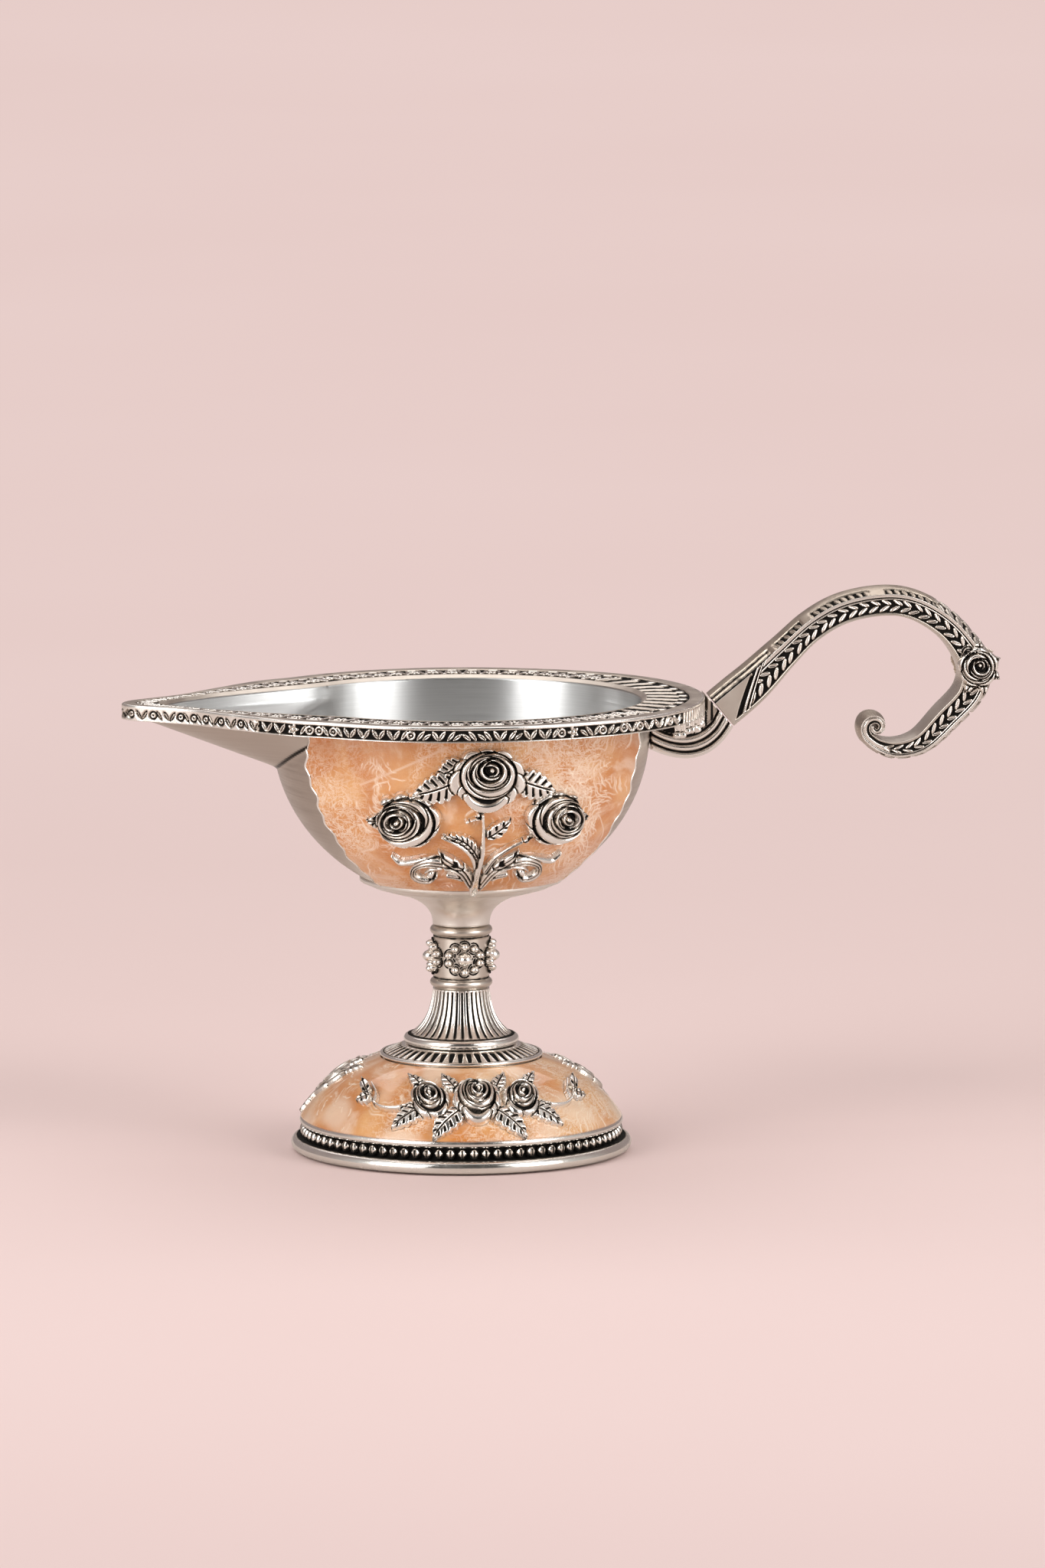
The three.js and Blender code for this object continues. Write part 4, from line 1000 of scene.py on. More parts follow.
def spout_flank(x, z, grow=0.0, tip=SPOUT_REACH, drop=SPOUT_DROP):
    """Half width of the spout's underside."""
    t = (x + tip) / (tip - SPOUT_ROOT)
    root = (BOWL_B + grow) * np.sqrt(1 - (SPOUT_ROOT / (BOWL_A + grow)) ** 2)
    half = root * np.maximum(t, 0) ** SPOUT_NOSE
    sunk = np.clip((BOWL_TOP - z) / (drop * np.maximum(t, 1e-6)), 0, 1)
    return np.where(t > 1 + 1e-9, 0, half * (1 - sunk) ** (1 / SPOUT_ROUND))


def bowl_radius(turn, z, grow, tip, drop, crease):
    """How far the wall lies from the axis: the round bowl and the spout together."""
    cos, sin = np.cos(turn), np.abs(np.sin(turn))
    wall = ellipse_at(z, grow) / np.hypot(cos, sin / squash_at(z, grow))
    back = np.maximum(-cos, 1e-6)
    low = SPOUT_ROOT / back + 0 * z
    high = tip / back + 0 * z
    starts = (cos < 0) & (sin * low <= spout_flank(-SPOUT_ROOT + 0 * low, z, grow, tip, drop))
    for _ in range(26):
        mid = (low + high) / 2
        inside = sin * mid <= spout_flank(cos * mid, z, grow, tip, drop)
        low, high = np.where(inside, mid, low), np.where(inside, high, mid)
    spout = np.where(starts, low, 0)
    near = np.maximum(1 - np.abs(wall - spout) / crease, 0)
    return np.maximum(wall, spout) + crease / 4 * near ** 2, near


def full_turn():
    """Angles round the bowl from the handle, closest at the spout's tip, and half their count."""
    round_part = np.linspace(0, SPOUT_TURN, 80)
    spout_part = np.pi - (np.pi - SPOUT_TURN) * np.linspace(1, 0, 160)[1:] ** 1.3
    half = np.concatenate([round_part, spout_part])
    return np.concatenate([half, -half[-2:0:-1]])[None, :], len(half)


def inner_radius(turn, z):
    """The inner wall, with a soft corner where the spout begins."""
    tip, drop = SPOUT_REACH - SPOUT_TIP_WALL, SPOUT_DROP - SPOUT_KEEL_WALL
    inner, _ = bowl_radius(turn, z, -BOWL_WALL, tip, drop, SHARP)
    room, _ = bowl_radius(turn, z, 0, SPOUT_REACH, SPOUT_DROP, SHARP)
    soft = blur(blur(inner, SOFT_COLUMNS), SOFT_COLUMNS)
    inner = lerp(inner, soft, smoothstep(np.abs(turn), SPOUT_TURN + 0.05, SPOUT_TURN + 0.15))
    return np.minimum(inner, room - BOWL_LEAST_WALL)


def bowl():
    """Bowl and spout. The bright inner wall runs up inside the rim to its lip."""
    turn, _ = full_turn()
    rise = column(0, 1, 120) ** 1.3
    outer_z = lerp(BOWL_BASE, BOWL_TOP, rise)
    inner_z = lerp(BOWL_BASE + BOWL_FLOOR, RIM_TOP - RIM_LIP_DROP, rise)[::-1]
    outer, crease = bowl_radius(turn, outer_z, 0, SPOUT_REACH, SPOUT_DROP, CREASE)
    inner = inner_radius(turn, inner_z) - RIM_COVER
    r = np.vstack([outer, inner])
    # Outside, shade 0.3 gives the tan painted reflection, rising to black painted shade along the crease;
    # inside stays 0 and bright.
    shade = np.vstack([lerp(0.3, 1, smoothstep(crease, 0.5, 0.95)), 0 * inner])
    skin("bowl", polar(r, turn, np.vstack([outer_z, inner_z])), POLISHED, shade)


# Ornament: fields from 0, sunk and black, to 1, raised and bright

def stroke(x, y, start, end, wide):
    """Line between two points, in the units of x and y."""
    dx, dy = end[0] - start[0], end[1] - start[1]
    x, y = x - start[0], y - start[1]
    t = np.clip((x * dx + y * dy) / (dx ** 2 + dy ** 2), 0, 1)
    far = np.hypot(x - t * dx, y - t * dy)
    return fade(far, wide * 0.3, wide * 0.65)


def leaf_mark(x, y, start, end, wide):
    """Pointed leaf between two points, with a dark rib."""
    dx, dy = end[0] - start[0], end[1] - start[1]
    long = np.hypot(dx, dy)
    t = ((x - start[0]) * dx + (y - start[1]) * dy) / long ** 2
    off = np.abs((y - start[1]) * dx - (x - start[0]) * dy) / long
    half = wide / 2 * np.sin(np.pi * np.clip(t, 0.02, 0.98)) ** 0.7
    body = fade(off - half, -0.14, 0) * ((t > 0) & (t < 1))
    rib = fade(off, 0.04, 0.15) * fade(np.abs(t - 0.45), 0.26, 0.34)
    return body * (1 - 0.85 * rib)


def side_ornament(s, z, x):
    """Leaves, scrolls and small flowers between two bright edges on the rim's side."""
    cell = np.floor(s / SIDE_CELL)
    u = np.mod(s, SIDE_CELL)
    u = np.where(scatter(cell, 2) > 0.5, u, SIDE_CELL - u)
    low, high = RIM_LINE, RIM_H - RIM_CUT - RIM_LINE
    mid = (low + high) / 2
    pair = np.maximum(leaf_mark(u, z, (1.45, low), (0.2, high), 0.95),
                      leaf_mark(u, z, (1.5, low), (2.75, high), 0.95))
    sprig = np.maximum(leaf_mark(u, z, (0.1, low), (1.7, high), 0.9),
                       leaf_mark(u, z, (1.2, low + 0.1), (2.9, mid + 0.4), 0.85))
    off = np.hypot(u - 0.95, z - mid)
    curl = np.maximum(fade(np.abs(off - 0.68), 0.12, 0.26), fade(off, 0.14, 0.3))
    scroll = np.maximum(curl, leaf_mark(u, z, (1.6, high), (2.85, low), 0.9))
    bloom = flower(u, z, (SIDE_CELL / 2, mid), 1.25)
    pick = scatter(cell, 1)
    figures = np.select([pick < 0.35, pick < 0.6, pick < 0.85], [pair, sprig, scroll], bloom)
    filled = 1 - np.where(pick > 0.5, pair, scroll)
    comb = stroke(np.mod(s, COMB_STEP), z, (0.6, low), (0.75, high), 0.5)
    figures = lerp(figures, filled, smoothstep(-x, 40, 42))
    figures = lerp(figures, comb, smoothstep(x, RIM_END_X - 7, RIM_END_X - 6))
    edge = np.maximum(fade(z, low - 0.15, low), smoothstep(z, high - 0.05, high + 0.1))
    return np.maximum(figures, edge)


def flower(x, y, middle, size):
    dx, dy = x - middle[0], y - middle[1]
    r = np.hypot(dx, dy) / size
    petals = 0.78 + 0.22 * np.cos(5 * np.arctan2(dy, dx))
    heart = 1 - 0.7 * np.exp(-((r - 0.36) / 0.08) ** 2)
    return fade(r, petals - 0.12, petals) * heart


def top_ornament(s, v, wide, x):
    """Flowers and leaves on the rim's top, and a fan of blades at the handle. v runs from its lip."""
    cell = np.floor(s / TOP_CELL)
    u = np.mod(s, TOP_CELL)
    g = v / wide
    heart = (TOP_CELL / 2, wide * (0.4 + 0.2 * scatter(cell, 3)))
    figures = np.maximum.reduce([
        flower(u, v, heart, np.minimum(1.4, wide * 0.36)),
        stroke(u, v, (0.1, wide * 0.15), (0.8, wide * 0.85), 0.55),
        stroke(u, v, (TOP_CELL - 0.2, wide * 0.2), (TOP_CELL - 0.9, wide * 0.8), 0.55),
        stroke(u, v, (TOP_CELL * 0.3, wide * 0.93), (TOP_CELL * 0.7, wide * 0.9), 0.45),
    ])
    blade = np.abs(np.mod(s + 2.0 * g ** 2, FAN_STEP) - FAN_STEP / 2)
    # Blades peak at 0.85, so they show tan: painted shade on the rim's top at the handle.
    fan = fade(blade, 0.9, 1.3) * (0.85 - 0.45 * np.exp(-(blade / 0.3) ** 2))
    drop = np.hypot(np.mod(s, FAN_STEP) - FAN_STEP / 2, v - wide * 0.86)
    fan = np.maximum(fan * (g < 0.76), fade(drop, 0.8, 1.1))
    figures = lerp(figures, fan, smoothstep(x, RIM_END_X - 12, RIM_END_X - 9))
    return figures * fade(g, 0.94, 1.0)


def rim_width(x):
    tip = SPOUT_REACH - SPOUT_TIP_WALL
    waist = lerp(RIM_SIDE_W, RIM_SPOUT_W, smoothstep(-x, SPOUT_ROOT + 4, SPOUT_ROOT * 2))
    nose = lerp(waist, RIM_TIP_W, smoothstep(-x, SPOUT_ROOT * 2, tip))
    return lerp(nose, RIM_END_W, smoothstep(x, (BOWL_A - BOWL_WALL) / 3, BOWL_A - BOWL_WALL))


def rim_outline():
    """Closed line of the opening, its outward directions, the rim's widths and the way along its edge."""
    turn, count = full_turn()
    opening = polar(inner_radius(turn, np.array([[BOWL_TOP]])), turn, BOWL_TOP)
    half = even_line(opening[0, :count, :2], RIM_STEPS)
    line = np.vstack([half, half[-2:0:-1] * [1, -1]])
    along = unit(np.roll(line, -3, axis=0) - np.roll(line, 3, axis=0))
    out = np.stack([along[:, 1], -along[:, 0]], axis=1)
    width = rim_width(line[:, :1])
    edge = line + out * width
    nose = smoothstep(-edge[:, :1], SPOUT_REACH * 0.75, SPOUT_REACH + 2)
    edge = edge * np.hstack([1 + 0 * nose, lerp(1, NOSE_PINCH, nose)]) + nose * [NOSE_BACK, 0]
    out = (edge - line) / width
    far = lengths(edge[:RIM_STEPS])
    return line, out, width, np.concatenate([far, -far[-2:0:-1]])[:, None]


def rim_border():
    line, out, width, s = rim_outline()
    x = line[:, :1] + out[:, :1] * width
    lip = np.minimum(RIM_LIP_W, width / 4)
    flat = width - RIM_CUT - lip
    plain = np.minimum(RIM_PLAIN, flat * 0.35)

    rise = row(0, RIM_H - RIM_CUT, 22) + 0 * width
    carved = side_ornament(s, rise, x)
    turn = row(0.15, 1, 5) * np.pi / 2
    border = plain * row(0.9, 0.05, 6)
    v = (flat - plain) * row(1, 0, 40)
    chased = top_ornament(s, v, flat - plain, x)
    fall = row(0.08, 1, 8)
    under = width * row(0, 1, 4)[:, :-1]
    # Columns from the foot of the side, over the top and back underneath: reach, rise, shade
    bands = [
        (width - CARVE * (1 - carved), rise, 1 - carved),
        (width - RIM_CUT * (1 - np.cos(turn)), RIM_H - RIM_CUT * (1 - np.sin(turn)), 0.05),
        (lip + flat - plain + border, RIM_H, BORDER_SHADE),
        (lip + v, RIM_H - CARVE * 0.8 * (1 - chased), 1 - chased),
        (lip * (1 - fall), RIM_H - RIM_LIP_DROP * fall, LIP_SHADE),
        (under, 0.0, 0.2),
    ]
    reach, z, dark = (np.hstack([band[k] + 0 * band[0] for band in bands]) for k in range(3))
    x, y = (line[:, k:k + 1] + out[:, k:k + 1] * reach for k in (0, 1))
    grid = np.stack([x, y, RIM_Z + z], axis=-1)
    skin("rim_border", grid, SILVER, dark, True)


def rim_fringe(name, side):
    """Drops and loops that hang from the rim's edge beside the handle."""
    line, out, width, s = rim_outline()
    edge, far = line + out * width, s[:RIM_STEPS, 0]
    d = Drawing((FRINGE_FROM - 1.2, -FRINGE_LONG - 1), (FRINGE_TO + 1.2, 0.3))
    for k, at in enumerate(np.arange(FRINGE_FROM, FRINGE_TO, FRINGE_STEP)):
        long = FRINGE_LONG * (0.65 + 0.35 * scatter(k, 6))
        lean = 0.5 * (scatter(k, 8) - 0.5)
        if k % 2:
            d.stem([(at + 0.2, -long), (at + FRINGE_STEP * 0.7, -long * 0.9)], (0.7, 0.6), 0.45)
        d.stem([(at, 0.2), (at + lean, -long * 0.6), (at, -long)], (1.1, 0.8, 0.9), 0.6)
        d.ball((at, -long), 0.65, 0.7)

    def ground(across, up, height):
        x, y, out_x, out_y = (np.interp(across, far, f[:RIM_STEPS, k]) for f in (edge, out) for k in (0, 1))
        depth = height - 0.6
        return np.stack([x + out_x * depth, -y - out_y * depth, RIM_Z + up], axis=-1)

    d.piece(f"rim_fringe_{name}", ground, side)


# Panels and sprays on the sides of the bowl

def wall_half(x, z):
    wall = squash_at(z) * np.sqrt(np.maximum(ellipse_at(z) ** 2 - x ** 2, 0))
    return np.maximum(wall, spout_flank(x, z))


def on_bowl(x, z, height):
    """Points of the bowl's front wall, raised along its normal."""
    x, z, height = np.broadcast_arrays(x, z, height)
    tiny = 0.05
    slope_x = (wall_half(x + tiny, z) - wall_half(x - tiny, z)) / (2 * tiny)
    slope_z = (wall_half(x, z + tiny) - wall_half(x, z - tiny)) / (2 * tiny)
    normal = unit(np.stack([-slope_x, -np.ones_like(slope_x), -slope_z], axis=-1))
    return np.stack([x, -wall_half(x, z), z], axis=-1) + normal * height[..., None]


def panel_point(u, v, height):
    """u runs from the spout's edge, 0, to the handle's, 1. The edges wander a little."""
    z = PANEL_FOOT + PANEL_HIGH * v ** 1.25
    left = lerp(PANEL_FOOT_HALF, PANEL_TO_SPOUT, v) + EDGE_WANDER * np.sin(17 * v) * np.sin(41 * v)
    right = lerp(PANEL_FOOT_HALF, PANEL_TO_HANDLE, v) + EDGE_WANDER * np.sin(15 * v + 1) * np.sin(37 * v)
    angle = np.radians(lerp(-left, right, u))
    return on_bowl(ellipse_at(z) * np.sin(angle), z, height)


def bowl_enamel(name, side):
    v = column(0, 1, 180)
    u = row(0, 1, 360)
    front = panel_point(u, v, LAID + ENAMEL)
    back = panel_point(u, v, 0.0)[:, ::-1]
    x, up = front[..., 0], front[..., 2] - PANEL_FOOT
    marks = brush_marks(x, up, swirls=110, seed=5, spots=MARKED)
    marks = np.maximum(marks, 0.4 * stroke(x, up, *STREAK, 0.5))
    grid = np.concatenate([front, back], axis=1) * [1, side, 1]
    shade = np.concatenate([marks, 0 * back[..., 0]], axis=1)
    skin(f"bowl_enamel_{name}", grid, PEARL, shade)


def panel_edging(name, side):
    """Thin silver line along the two upright edges of a panel."""
    v = column(0, 1, 140)
    turn = np.linspace(0, 2 * np.pi, 10, endpoint=False)[None, :]
    for end, u in (("spout", 0.0), ("handle", 1.0)):
        wide = (1 if u else -1) * EDGING_R * np.cos(turn)
        at = panel_point(u + wide / PANEL_WIDE, v, LAID + ENAMEL * 0.6 + EDGING_R * np.sin(turn))
        # The half of each line that faces the bowl's wall is painted black: a painted shadow under the
        # line.
        dark = 0.9 * smoothstep(-np.sin(turn), 0.1, 0.7) + 0 * v
        skin(f"panel_edging_{name}_{end}", at * [1, side, 1], SILVER, dark)


def bowl_ground(across, up, height):
    scale = PANEL_HIGH / SPRAY_H
    return on_bowl(across * scale, PANEL_FOOT + up * scale, 2 * LAID + ENAMEL + height)


def centre_rose(name, side):
    d = Drawing((-15, 15.5), (15, 30.2))
    d.leaf((-4.0, 26.6), (-8.6, 23.4), 4.6, RELIEF, 0.12, 5)
    d.leaf((-4.4, 22.6), (-12.7, 19.8), 6.2, RELIEF, 0.04)
    d.leaf((6.2, 22.8), (13.9, 20.0), 6.0, RELIEF, -0.02)
    d.rose((1.0, 22.8), (7.2, 6.4), 2.8, CENTRE_BLOOM, CENTRE_LIPS)
    d.piece(f"{name}_rose_centre", bowl_ground, side)


def side_rose(name, word, hand, side):
    low, high = sorted((hand * 6, hand * 22))
    d = Drawing((low, 8.4), (high, 21.4))

    def turned(angle):
        return angle if hand > 0 else 180 - angle

    d.leaf((hand * 17.2, 14.4), (hand * 20.5, 14.8), 2.8, RELIEF, 0.0, 3)
    for across, up, radius in ((10.6, 17.4, 1.1), (12.6, 18.9, 1.2), (14.6, 18.9, 1.4), (17.1, 18.3, 1.15)):
        d.ball((hand * across, up), radius, 1.7)
    bloom = [(turned(angle), *rest) for angle, *rest in SIDE_BLOOM]
    lips = [(reach, hand * across, up, turned(facing)) for reach, across, up, facing in SIDE_LIPS]
    d.rose((hand * 13.45 + 0.45, 14.7), (5.8, 5.1), 2.4, bloom, lips)
    d.piece(f"{name}_rose_{word}", bowl_ground, side)


def branch(name, side):
    """Stem with two scrolls, leaves and side stems; all is drawn about the stem's foot."""
    d = Drawing((-17.5, 0.0), (17.5, 16.6))
    for hand in (-1, 1):
        def on(points):
            return [(hand * across - 0.15, up) for across, up in points]

        d.stem(on([(1.0, 2.4), (2.8, 3.8), (5.4, 4.4)]), (0.9, 1.2, 0.8), RELIEF * 0.8, 2)
        d.stem(on([(6.0, 7.2), (9.5, 7.6), (12.2, 7.0), (13.9, 6.8), (15.6, 8.1)]),
               (1.0, 1.2, 1.1, 0.9, 0.3), RELIEF)
        d.stem(on([(0.6, 2.0), (2.9, 5.4), (6.2, 6.7), (9.4, 6.9), (11.4, 5.9), (11.5, 4.4), (10.2, 3.4),
                   (8.4, 3.3), (7.4, 4.2)]), (1.5, 2.0, 1.9, 1.6, 1.3, 1.1, 1.1, 1.0, 0.7), RELIEF, 3)
        d.stem(on([(6.6, 5.9), (8.6, 5.7), (9.4, 5.0)]), (0.5, 0.7, 0.5), RELIEF * 0.9)
        d.ball((hand * 8.4 - 0.15, 4.5), 0.75, RELIEF)
        d.leaf(on([(2.6, 6.0)])[0], on([(7.6, 9.3)])[0], 1.7, RELIEF, -hand * 0.06, 2)
    d.leaf((-0.2, 7.6), (-6.8, 12.3), 2.3, RELIEF, -0.16, 8)
    d.stem([(-0.4, 5.0), (-1.6, 8.3), (-4.0, 10.5), (-7.1, 11.9)], (0.8, 0.9, 0.8, 0.5), RELIEF)
    d.stem([(1.1, 5.4), (2.8, 8.0), (5.6, 9.9), (8.6, 11.2)], (0.9, 0.8, 0.7, 0.6), RELIEF, 2)
    d.leaf((7.8, 10.7), (10.0, 11.8), 1.0, RELIEF, 0.0, 1)
    d.leaf((0.8, 11.8), (5.6, 15.4), 2.9, RELIEF, -0.05, 4)
    d.stem([(0.0, 15.4), (-1.2, 15.3), (-2.8, 14.7)], (0.7, 0.5), RELIEF)
    d.ball((-2.7, 14.8), 0.45, 0.9)
    d.ball((-0.6, 16.0), 0.45, 0.9)
    d.stem([(-0.4, 1.0), (-0.2, 4.8), (0.4, 9.0), (0.2, 16.0)], (1.6, 1.15, 1.0, 0.8), 1.3)
    d.piece(f"{name}_branch", bowl_ground, side)


# Handle

def spine():
    """Points along the strap, which ends in a spiral, and directions across it."""
    stops = np.array(SPINE) + [RIM_END_X, RIM_TOP]
    line = even_line(smooth_line(stops, 24), SPINE_STEPS)
    along = unit(line[-1] - line[-2])
    out = np.array([-along[1], along[0]])
    turn = np.linspace(0, np.radians(CURL_TURN), 160)[1:, None]
    radius = lerp(CURL_R, CURL_END_R, (turn / turn[-1]) ** 0.7)
    centre = line[-1] - out * CURL_R
    curl = centre + radius * (out * np.cos(turn) + along * np.sin(turn))
    line = np.vstack([line, curl])
    along = unit(np.gradient(line, axis=0))
    return line, np.stack([-along[:, 1], along[:, 0]], axis=1)


def leaf_row(s, v, low, high, pitch, slant, wide):
    """Slanted leaves side by side in a band from v = low to high: bright outlines, grey middles."""
    t = (v - low) / (high - low)
    u = s - slant * t
    cell = np.floor(u / pitch)
    u = u - (cell + 0.5 + 0.2 * (scatter(cell, 7) - 0.5)) * pitch
    half = wide / 2 * np.sin(np.pi * np.clip(t, 0.03, 0.97)) ** 0.6
    leaf = fade(np.abs(u), half - 0.16, half) * ((t > 0) & (t < 1))
    return leaf * (1 - 0.35 * np.exp(-(u / 0.16) ** 2))


def handle():
    line, out = spine()
    far = lengths(line)
    s = far[:, None]
    index = np.arange(len(line))[:, None]
    t = np.clip(index / (SPINE_STEPS - 1), 0, 1)
    curl = np.clip((index - SPINE_STEPS + 1) / (len(line) - SPINE_STEPS), 0, 1)
    at_bend = far[np.argmin(np.linalg.norm(line[:SPINE_STEPS] - BEND_AT, axis=1))]
    scale = lerp(ROOT_SCALE, 1, smoothstep(t, 0.04, 0.24)) + BEND_SWELL * np.exp(-((s - at_bend) / 5) ** 2)
    scale = lerp(scale, 0.7, smoothstep(t, 0.8, 0.94))
    scale = lerp(scale, CURL_SCALE, smoothstep(t, 0.92, 1))
    scale = lerp(scale, CURL_END_SCALE, curl)
    half = lerp(HANDLE_HALF, VOLUTE_HALF, smoothstep(t, 0.7, 1))

    # Side: ridge, black line, bright line, leaves on black, plain inner edge
    q = row(-1, 1, 60)
    leaves = np.maximum(leaf_row(s, q, -0.74, -0.12, LEAF_PITCH, 1.7, 1.5),
                        leaf_row(s, q, -0.14, 0.42, LEAF_PITCH, -1.5, 1.4))
    band = s - lerp(*ROOT_BAND, (q + 1) / 2)
    facet = fade(band, -2.1, -1.8)
    ribs = np.maximum(fade(np.abs(band), 0.3, 0.5), fade(np.abs(band - 1.3), 0.15, 0.3))
    root = fade(band, 1.6, 1.9)
    leaves = lerp(leaves, np.maximum(facet, ribs), root)
    plain = smoothstep(t, 0.93, 0.97)
    leaves = lerp(leaves, fade(np.abs(q), 0.2, 0.5), plain)
    lines = np.maximum(smoothstep(q, 0.62, 0.7), fade(np.abs(q - 0.48), 0.04, 0.09))
    inner_edge = smoothstep(-q, 0.76, 0.84)
    carved = np.maximum.reduce([leaves, lines * (1 - root), inner_edge + 0 * s])
    # The root's facet and the plain inner edge are tan at 0.25: painted reflection.
    side_dark = np.maximum(1 - carved, 0.25 * np.maximum(facet * root, inner_edge))
    inner = lerp(HANDLE_INNER, HANDLE_SIDE, (q + 1) / 2)
    side_reach = q * inner * scale
    front_y = -half + SIDE_CARVE * (1 - carved) * np.minimum(scale, 1)

    # Crown: dashes beside a smooth middle, and foliage past the top of the arch
    c = row(-1, 1, 74)[:, 1:-1]
    v = np.abs(c)
    dashes = leaf_row(s, v, 0.5, 0.95, 1.35, 0.8, 0.95)
    dashes = np.maximum(dashes, smoothstep(np.sin(s * 0.9) + np.sin(s * 0.53 + 1), 0.7, 1.3))
    dashes = np.maximum(dashes, np.maximum(fade(v, 0.46, 0.52), smoothstep(v, 0.92, 0.97)))
    strip = np.maximum(fade(v, 0.42, 0.5), fade(np.abs(v - 0.72), 0.04, 0.08))
    dashes = lerp(strip, dashes, smoothstep(s, DASHES_FROM, DASHES_FROM + 2))
    foliage = np.maximum(leaf_row(s, v, 0.02, 0.5, 2.6, 1.8, 1.9),
                         leaf_row(s, v, 0.46, 0.96, 2.2, 1.4, 1.6))
    past = smoothstep(t, 0.5, 0.54) * fade(t, 0.95, 0.98)
    chased = lerp(lerp(dashes, 1, smoothstep(t, 0.95, 0.98)), foliage, past)
    swell = HANDLE_SIDE + (HANDLE_CROWN - HANDLE_SIDE) * np.cos(np.pi / 2 * c)
    crown_reach = (swell - SIDE_CARVE * (1 - chased)) * scale
    # The crown's smooth middle is painted tan, darker before the arch's top: painted shade on the top of
    # the strap.
    crown_dark = np.maximum(1 - chased, lerp(0.4, 0.1, past))

    b = row(1, -1, 18)[:, 1:-1]
    belly_reach = -(HANDLE_INNER + (HANDLE_BELLY - HANDLE_INNER) * np.cos(np.pi / 2 * b)) * scale
    reach = np.hstack([side_reach, crown_reach, side_reach[:, ::-1], belly_reach])
    wide = np.hstack([front_y, c * half, -front_y[:, ::-1], b * half])
    # The belly is tan at 0.25: painted reflection.
    dark = np.hstack([side_dark, crown_dark, side_dark[:, ::-1], 0 * belly_reach + 0.25])
    grid = np.stack([line[:, :1] + out[:, :1] * reach, wide, line[:, 1:] + out[:, 1:] * reach], axis=-1)
    skin("handle", grid, SILVER, dark)


def handle_rose(name, side):
    """Rose, bud and leaves at the bend, with leaf tips past the strap's outer edge."""
    d = Drawing((-4.6, -5.4), (4.6, 6.2))
    for tip in ((0.6, 5.8), (4.5, 2.2), (4.4, -1.8), (1.4, -5.0), (-2.4, -4.4)):
        d.leaf((tip[0] * 0.15 + 0.5, tip[1] * 0.15 + 0.6), tip, 2.5, 0.7, 0.04, 3)
    d.rose((-1.6, 3.3), (1.4, 1.4), 1.1, [], [(1.0, 0, 0, 120), (0.9, 0, 0, -60), (0.5, 0, 0, 0)])
    d.rose((0.3, 0.6), (3.9, 3.9), 1.4, ROUND_BLOOM, LOOSE_LIPS)

    def ground(across, up, height):
        return np.stack([BEND_AT[0] + across, -(HANDLE_HALF + 0.3 + height), BEND_AT[1] + up], axis=-1)

    d.piece(f"handle_rose_{name}", ground, side, 0.3)


def handle_bracket():
    """Ridged crescent under the rim, from the handle's root to the bowl."""
    line, out = spine()
    root, away = line[0], out[0]
    along = np.array([away[1], -away[0]])
    low = root - along * 0.3 - away * (HANDLE_SIDE * ROOT_SCALE + BRACKET_STEP)
    wall_x = BOWL_A + 0.06
    foot = bezier([low, (RIM_END_X, RIM_Z - BRACKET_DEPTH * 1.35),
                   (wall_x, RIM_Z - BRACKET_DEPTH * 0.8)], 70)
    tongue = RIM_END_X + 0.3
    high = root - along * 0.3
    high = high + away * (tongue - high[0]) / away[0]
    head = even_line(np.array([high, (tongue, RIM_Z - 0.1), (wall_x, RIM_Z - 0.1)]), 400)
    head = head[(np.linspace(0, 1, 70) ** 0.9 * 399).astype(int)]
    tall = np.linalg.norm(head - foot, axis=1)[:, None]
    d = row(0, 1, 60)
    up = d * tall
    ridge = np.abs(np.cos(np.pi * (up - BRACKET_STEP * 0.75) / (BRACKET_STEP * 1.35)))
    ridge = np.where(up < BRACKET_STEP * 0.75, 1, ridge)
    ridge = np.where(up > BRACKET_STEP * 4.6, 0.55, ridge)
    bottom = np.sqrt(np.clip(up / (BRACKET_STEP * 0.9), 0, 1))
    wide = (HANDLE_HALF - 0.75 * (1 - ridge ** 0.6)) * lerp(0.35, 1, bottom)
    at = foot[:, None, :] + (head - foot)[:, None, :] * d[..., None]
    x = np.maximum(at[..., 0], ellipse_at(at[..., 1]) + 0.05)
    comb = smoothstep(np.cos(2 * np.pi * x / BRACKET_STEP), 0.1, 0.5)
    # The bracket's top, tucked under the rim, is painted black: a painted shadow. Past the rim's end it is
    # tan with black strokes, the tan a painted reflection.
    above = np.where(x > RIM_END_X - 0.5, np.maximum(comb, 0.3), 1.0)
    dark = fade(ridge, 0.3, 0.62) * (up > BRACKET_STEP * 0.75)
    dark = np.where(up > BRACKET_STEP * 4.4, above, dark)
    front = np.stack([x, -wide, at[..., 1]], axis=-1)
    back = np.stack([x, wide, at[..., 1]], axis=-1)[:, ::-1]
    grid = np.concatenate([front, back], axis=1)
    dark = np.concatenate([dark, dark[:, ::-1]], axis=1)
    skin("handle_bracket", grid, SILVER, dark)


def base_pad():
    low, top, r = PAD_LOW[2], PAD_HIGH[2], PAD_HIGH[1]
    soft = 0.4
    profile = np.vstack([
        straight((0.6, low), (r - soft, low), 30),
        arc((r - soft, low + soft), soft, -80, 80, 8),
        straight((r - soft, top), (0.6, top), 30),
    ])

    def fibres(angle, r, z):
        return r, z + 0.03 * np.sin(40 * angle + r) * (z > low + 0.2)

    pad = lathe("base_pad", profile, 120, FELT, fibres)


# The pieces

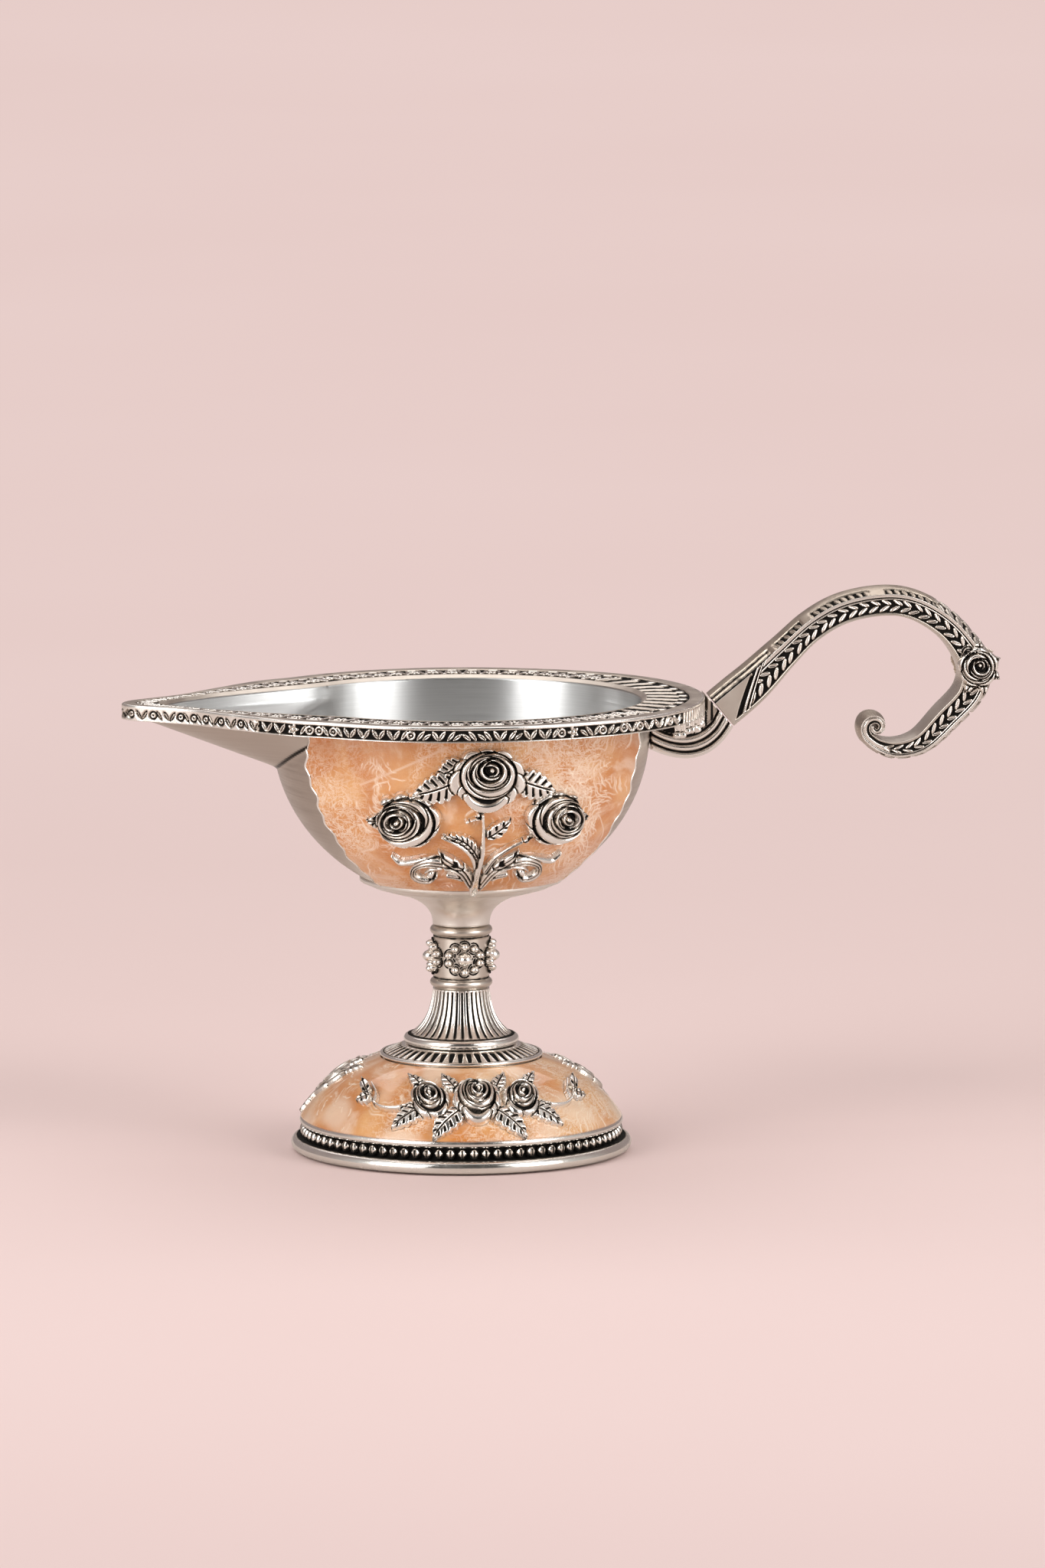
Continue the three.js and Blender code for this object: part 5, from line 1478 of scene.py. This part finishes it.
foot()
foot_enamel()
foot_beading()
for spray in range(3):
    foot_spray(spray)
gadroon_ring()
fluted_cone()
stem_collar()
for cluster in range(4):
    berry_cluster(cluster)
bowl_seat()
bowl()
rim_border()
for face, mirror in (("front", 1), ("back", -1)):
    bowl_enamel(face, mirror)
    panel_edging(face, mirror)
    centre_rose(face, mirror)
    side_rose(face, "left", -1, mirror)
    side_rose(face, "right", 1, mirror)
    branch(face, mirror)
    handle_rose(face, mirror)
    rim_fringe(face, mirror)
handle()
handle_bracket()
base_pad()
TURNED = (80, 4.0, (1, 1, 40))
STEEL = two_tone("steel", STEEL_TONES, 0.35, 1.0, TURNED, 0.00003)
BRASS = two_tone("brass", BRASS_TONES, 0.35, 1.0, TURNED, 0.00003)
for node, material in (("tie_screw", STEEL), ("tie_washer", STEEL), ("bowl_bush", BRASS)):
    mesh = frame["nodes"][node].data
    mesh.materials.clear()
    mesh.materials.append(material)


# Floor, light and camera

def floor():
    """Pale floor that shows an even colour far from the object."""
    s = Surface("floor", 0.6, 0.0)
    tint = s.blend(s.noise(3, 3.0), *FLOOR_TONES)
    ray = s.add("LightPath", "Is Glossy Ray")
    s.paint({"Base Color": s.blend(ray, tint, FLOOR_MIRRORED)})
    far = s.add("VectorMath", "Value", {0: s.add("TexCoord", "Object")}, operation="LENGTH")
    glow = s.add("Emission", "Emission", {"Color": tint, "Strength": FLOOR_GLOW})
    away = s.math("MULTIPLY", s.remap(far, 0.12, 0.6), ray.node.outputs["Is Camera Ray"])
    plain = s.tree.nodes["Principled BSDF"].outputs["BSDF"]
    mix = s.add("MixShader", "Shader", {"Fac": away, 1: plain, 2: glow})
    s.fill(s.tree.nodes["Material Output"], {"Surface": mix})
    mesh = bpy.data.meshes.new("floor")
    corners = [(x * FLOOR_HALF, y * FLOOR_HALF, 0) for x, y in ((-1, -1), (1, -1), (1, 1), (-1, 1))]
    mesh.from_pydata(corners, [], [(0, 1, 2, 3)])
    mesh.materials.append(s.owner)
    ground = bpy.data.objects.new("floor", mesh)
    bpy.context.scene.collection.objects.link(ground)


def softbox(name, place, size, power):
    data = bpy.data.lights.new(name, "AREA")
    data.shape = "RECTANGLE"
    data.size, data.size_y = size
    data.energy = power
    lamp = bpy.data.objects.new(name, data)
    lamp.location = place
    lamp.rotation_euler = (LIGHT_AIM - Vector(place)).to_track_quat("-Z", "Y").to_euler()
    bpy.context.scene.collection.objects.link(lamp)


def world():
    """White walls in front with a dark gap between them, and rosy dusk behind."""
    s = Nodes(bpy.data.worlds.new("studio"))
    bpy.context.scene.world = s.owner
    y = s.add("SeparateXYZ", "Y", {"Vector": s.add("TexCoord", "Generated")})
    tone = s.blend(s.remap(y, -0.3, 0.5), *SKY_TONES)
    aside = s.math("ABSOLUTE", s.math("ADD", y.node.outputs["X"], 0.1))
    ahead = s.remap(y, -0.45, -0.15, 0.95, 0.0)
    gap = s.math("MULTIPLY", s.remap(aside, 0.38, 0.56, 1.0, 0.0), ahead)
    s.fill(s.tree.nodes["Background"], {"Color": s.blend(gap, tone, SKY_GAP), "Strength": SKY_STRENGTH})


def camera():
    turn, lift = np.radians(VIEW_AZIMUTH), np.radians(VIEW_ELEVATION)
    right = Vector((np.cos(turn), np.sin(turn), 0))
    ahead = Vector((-np.sin(turn), np.cos(turn), 0))
    up = ahead * np.sin(lift) + Vector((0, 0, np.cos(lift)))
    aim = right * (AIM_RIGHT * MM) + up * (AIM_UP * MM)
    data = bpy.data.cameras.new("camera")
    data.sensor_width = SENSOR
    data.lens = SENSOR * VIEW_FAR / (FRAME_HIGH * MM)
    data.clip_end = 100
    eye = bpy.data.objects.new("camera", data)
    sight = ahead * np.cos(lift) - Vector((0, 0, np.sin(lift)))
    eye.location = aim - sight * VIEW_FAR
    eye.rotation_euler = sight.to_track_quat("-Z", "Y").to_euler()
    bpy.context.scene.collection.objects.link(eye)
    bpy.context.scene.camera = eye


floor()
softbox("left_box", (-1.1, -0.85, 0.7), (0.9, 1.3), 17)
softbox("right_box", (1.05, -0.95, 0.7), (0.8, 1.3), 15)
softbox("top_box", (0.0, 0.25, 1.7), (1.8, 1.0), 8)
softbox("back_box", (0.1, 1.1, 1.4), (1.6, 0.8), 6)
world()
camera()
bpy.context.scene.view_settings.view_transform = "Standard"
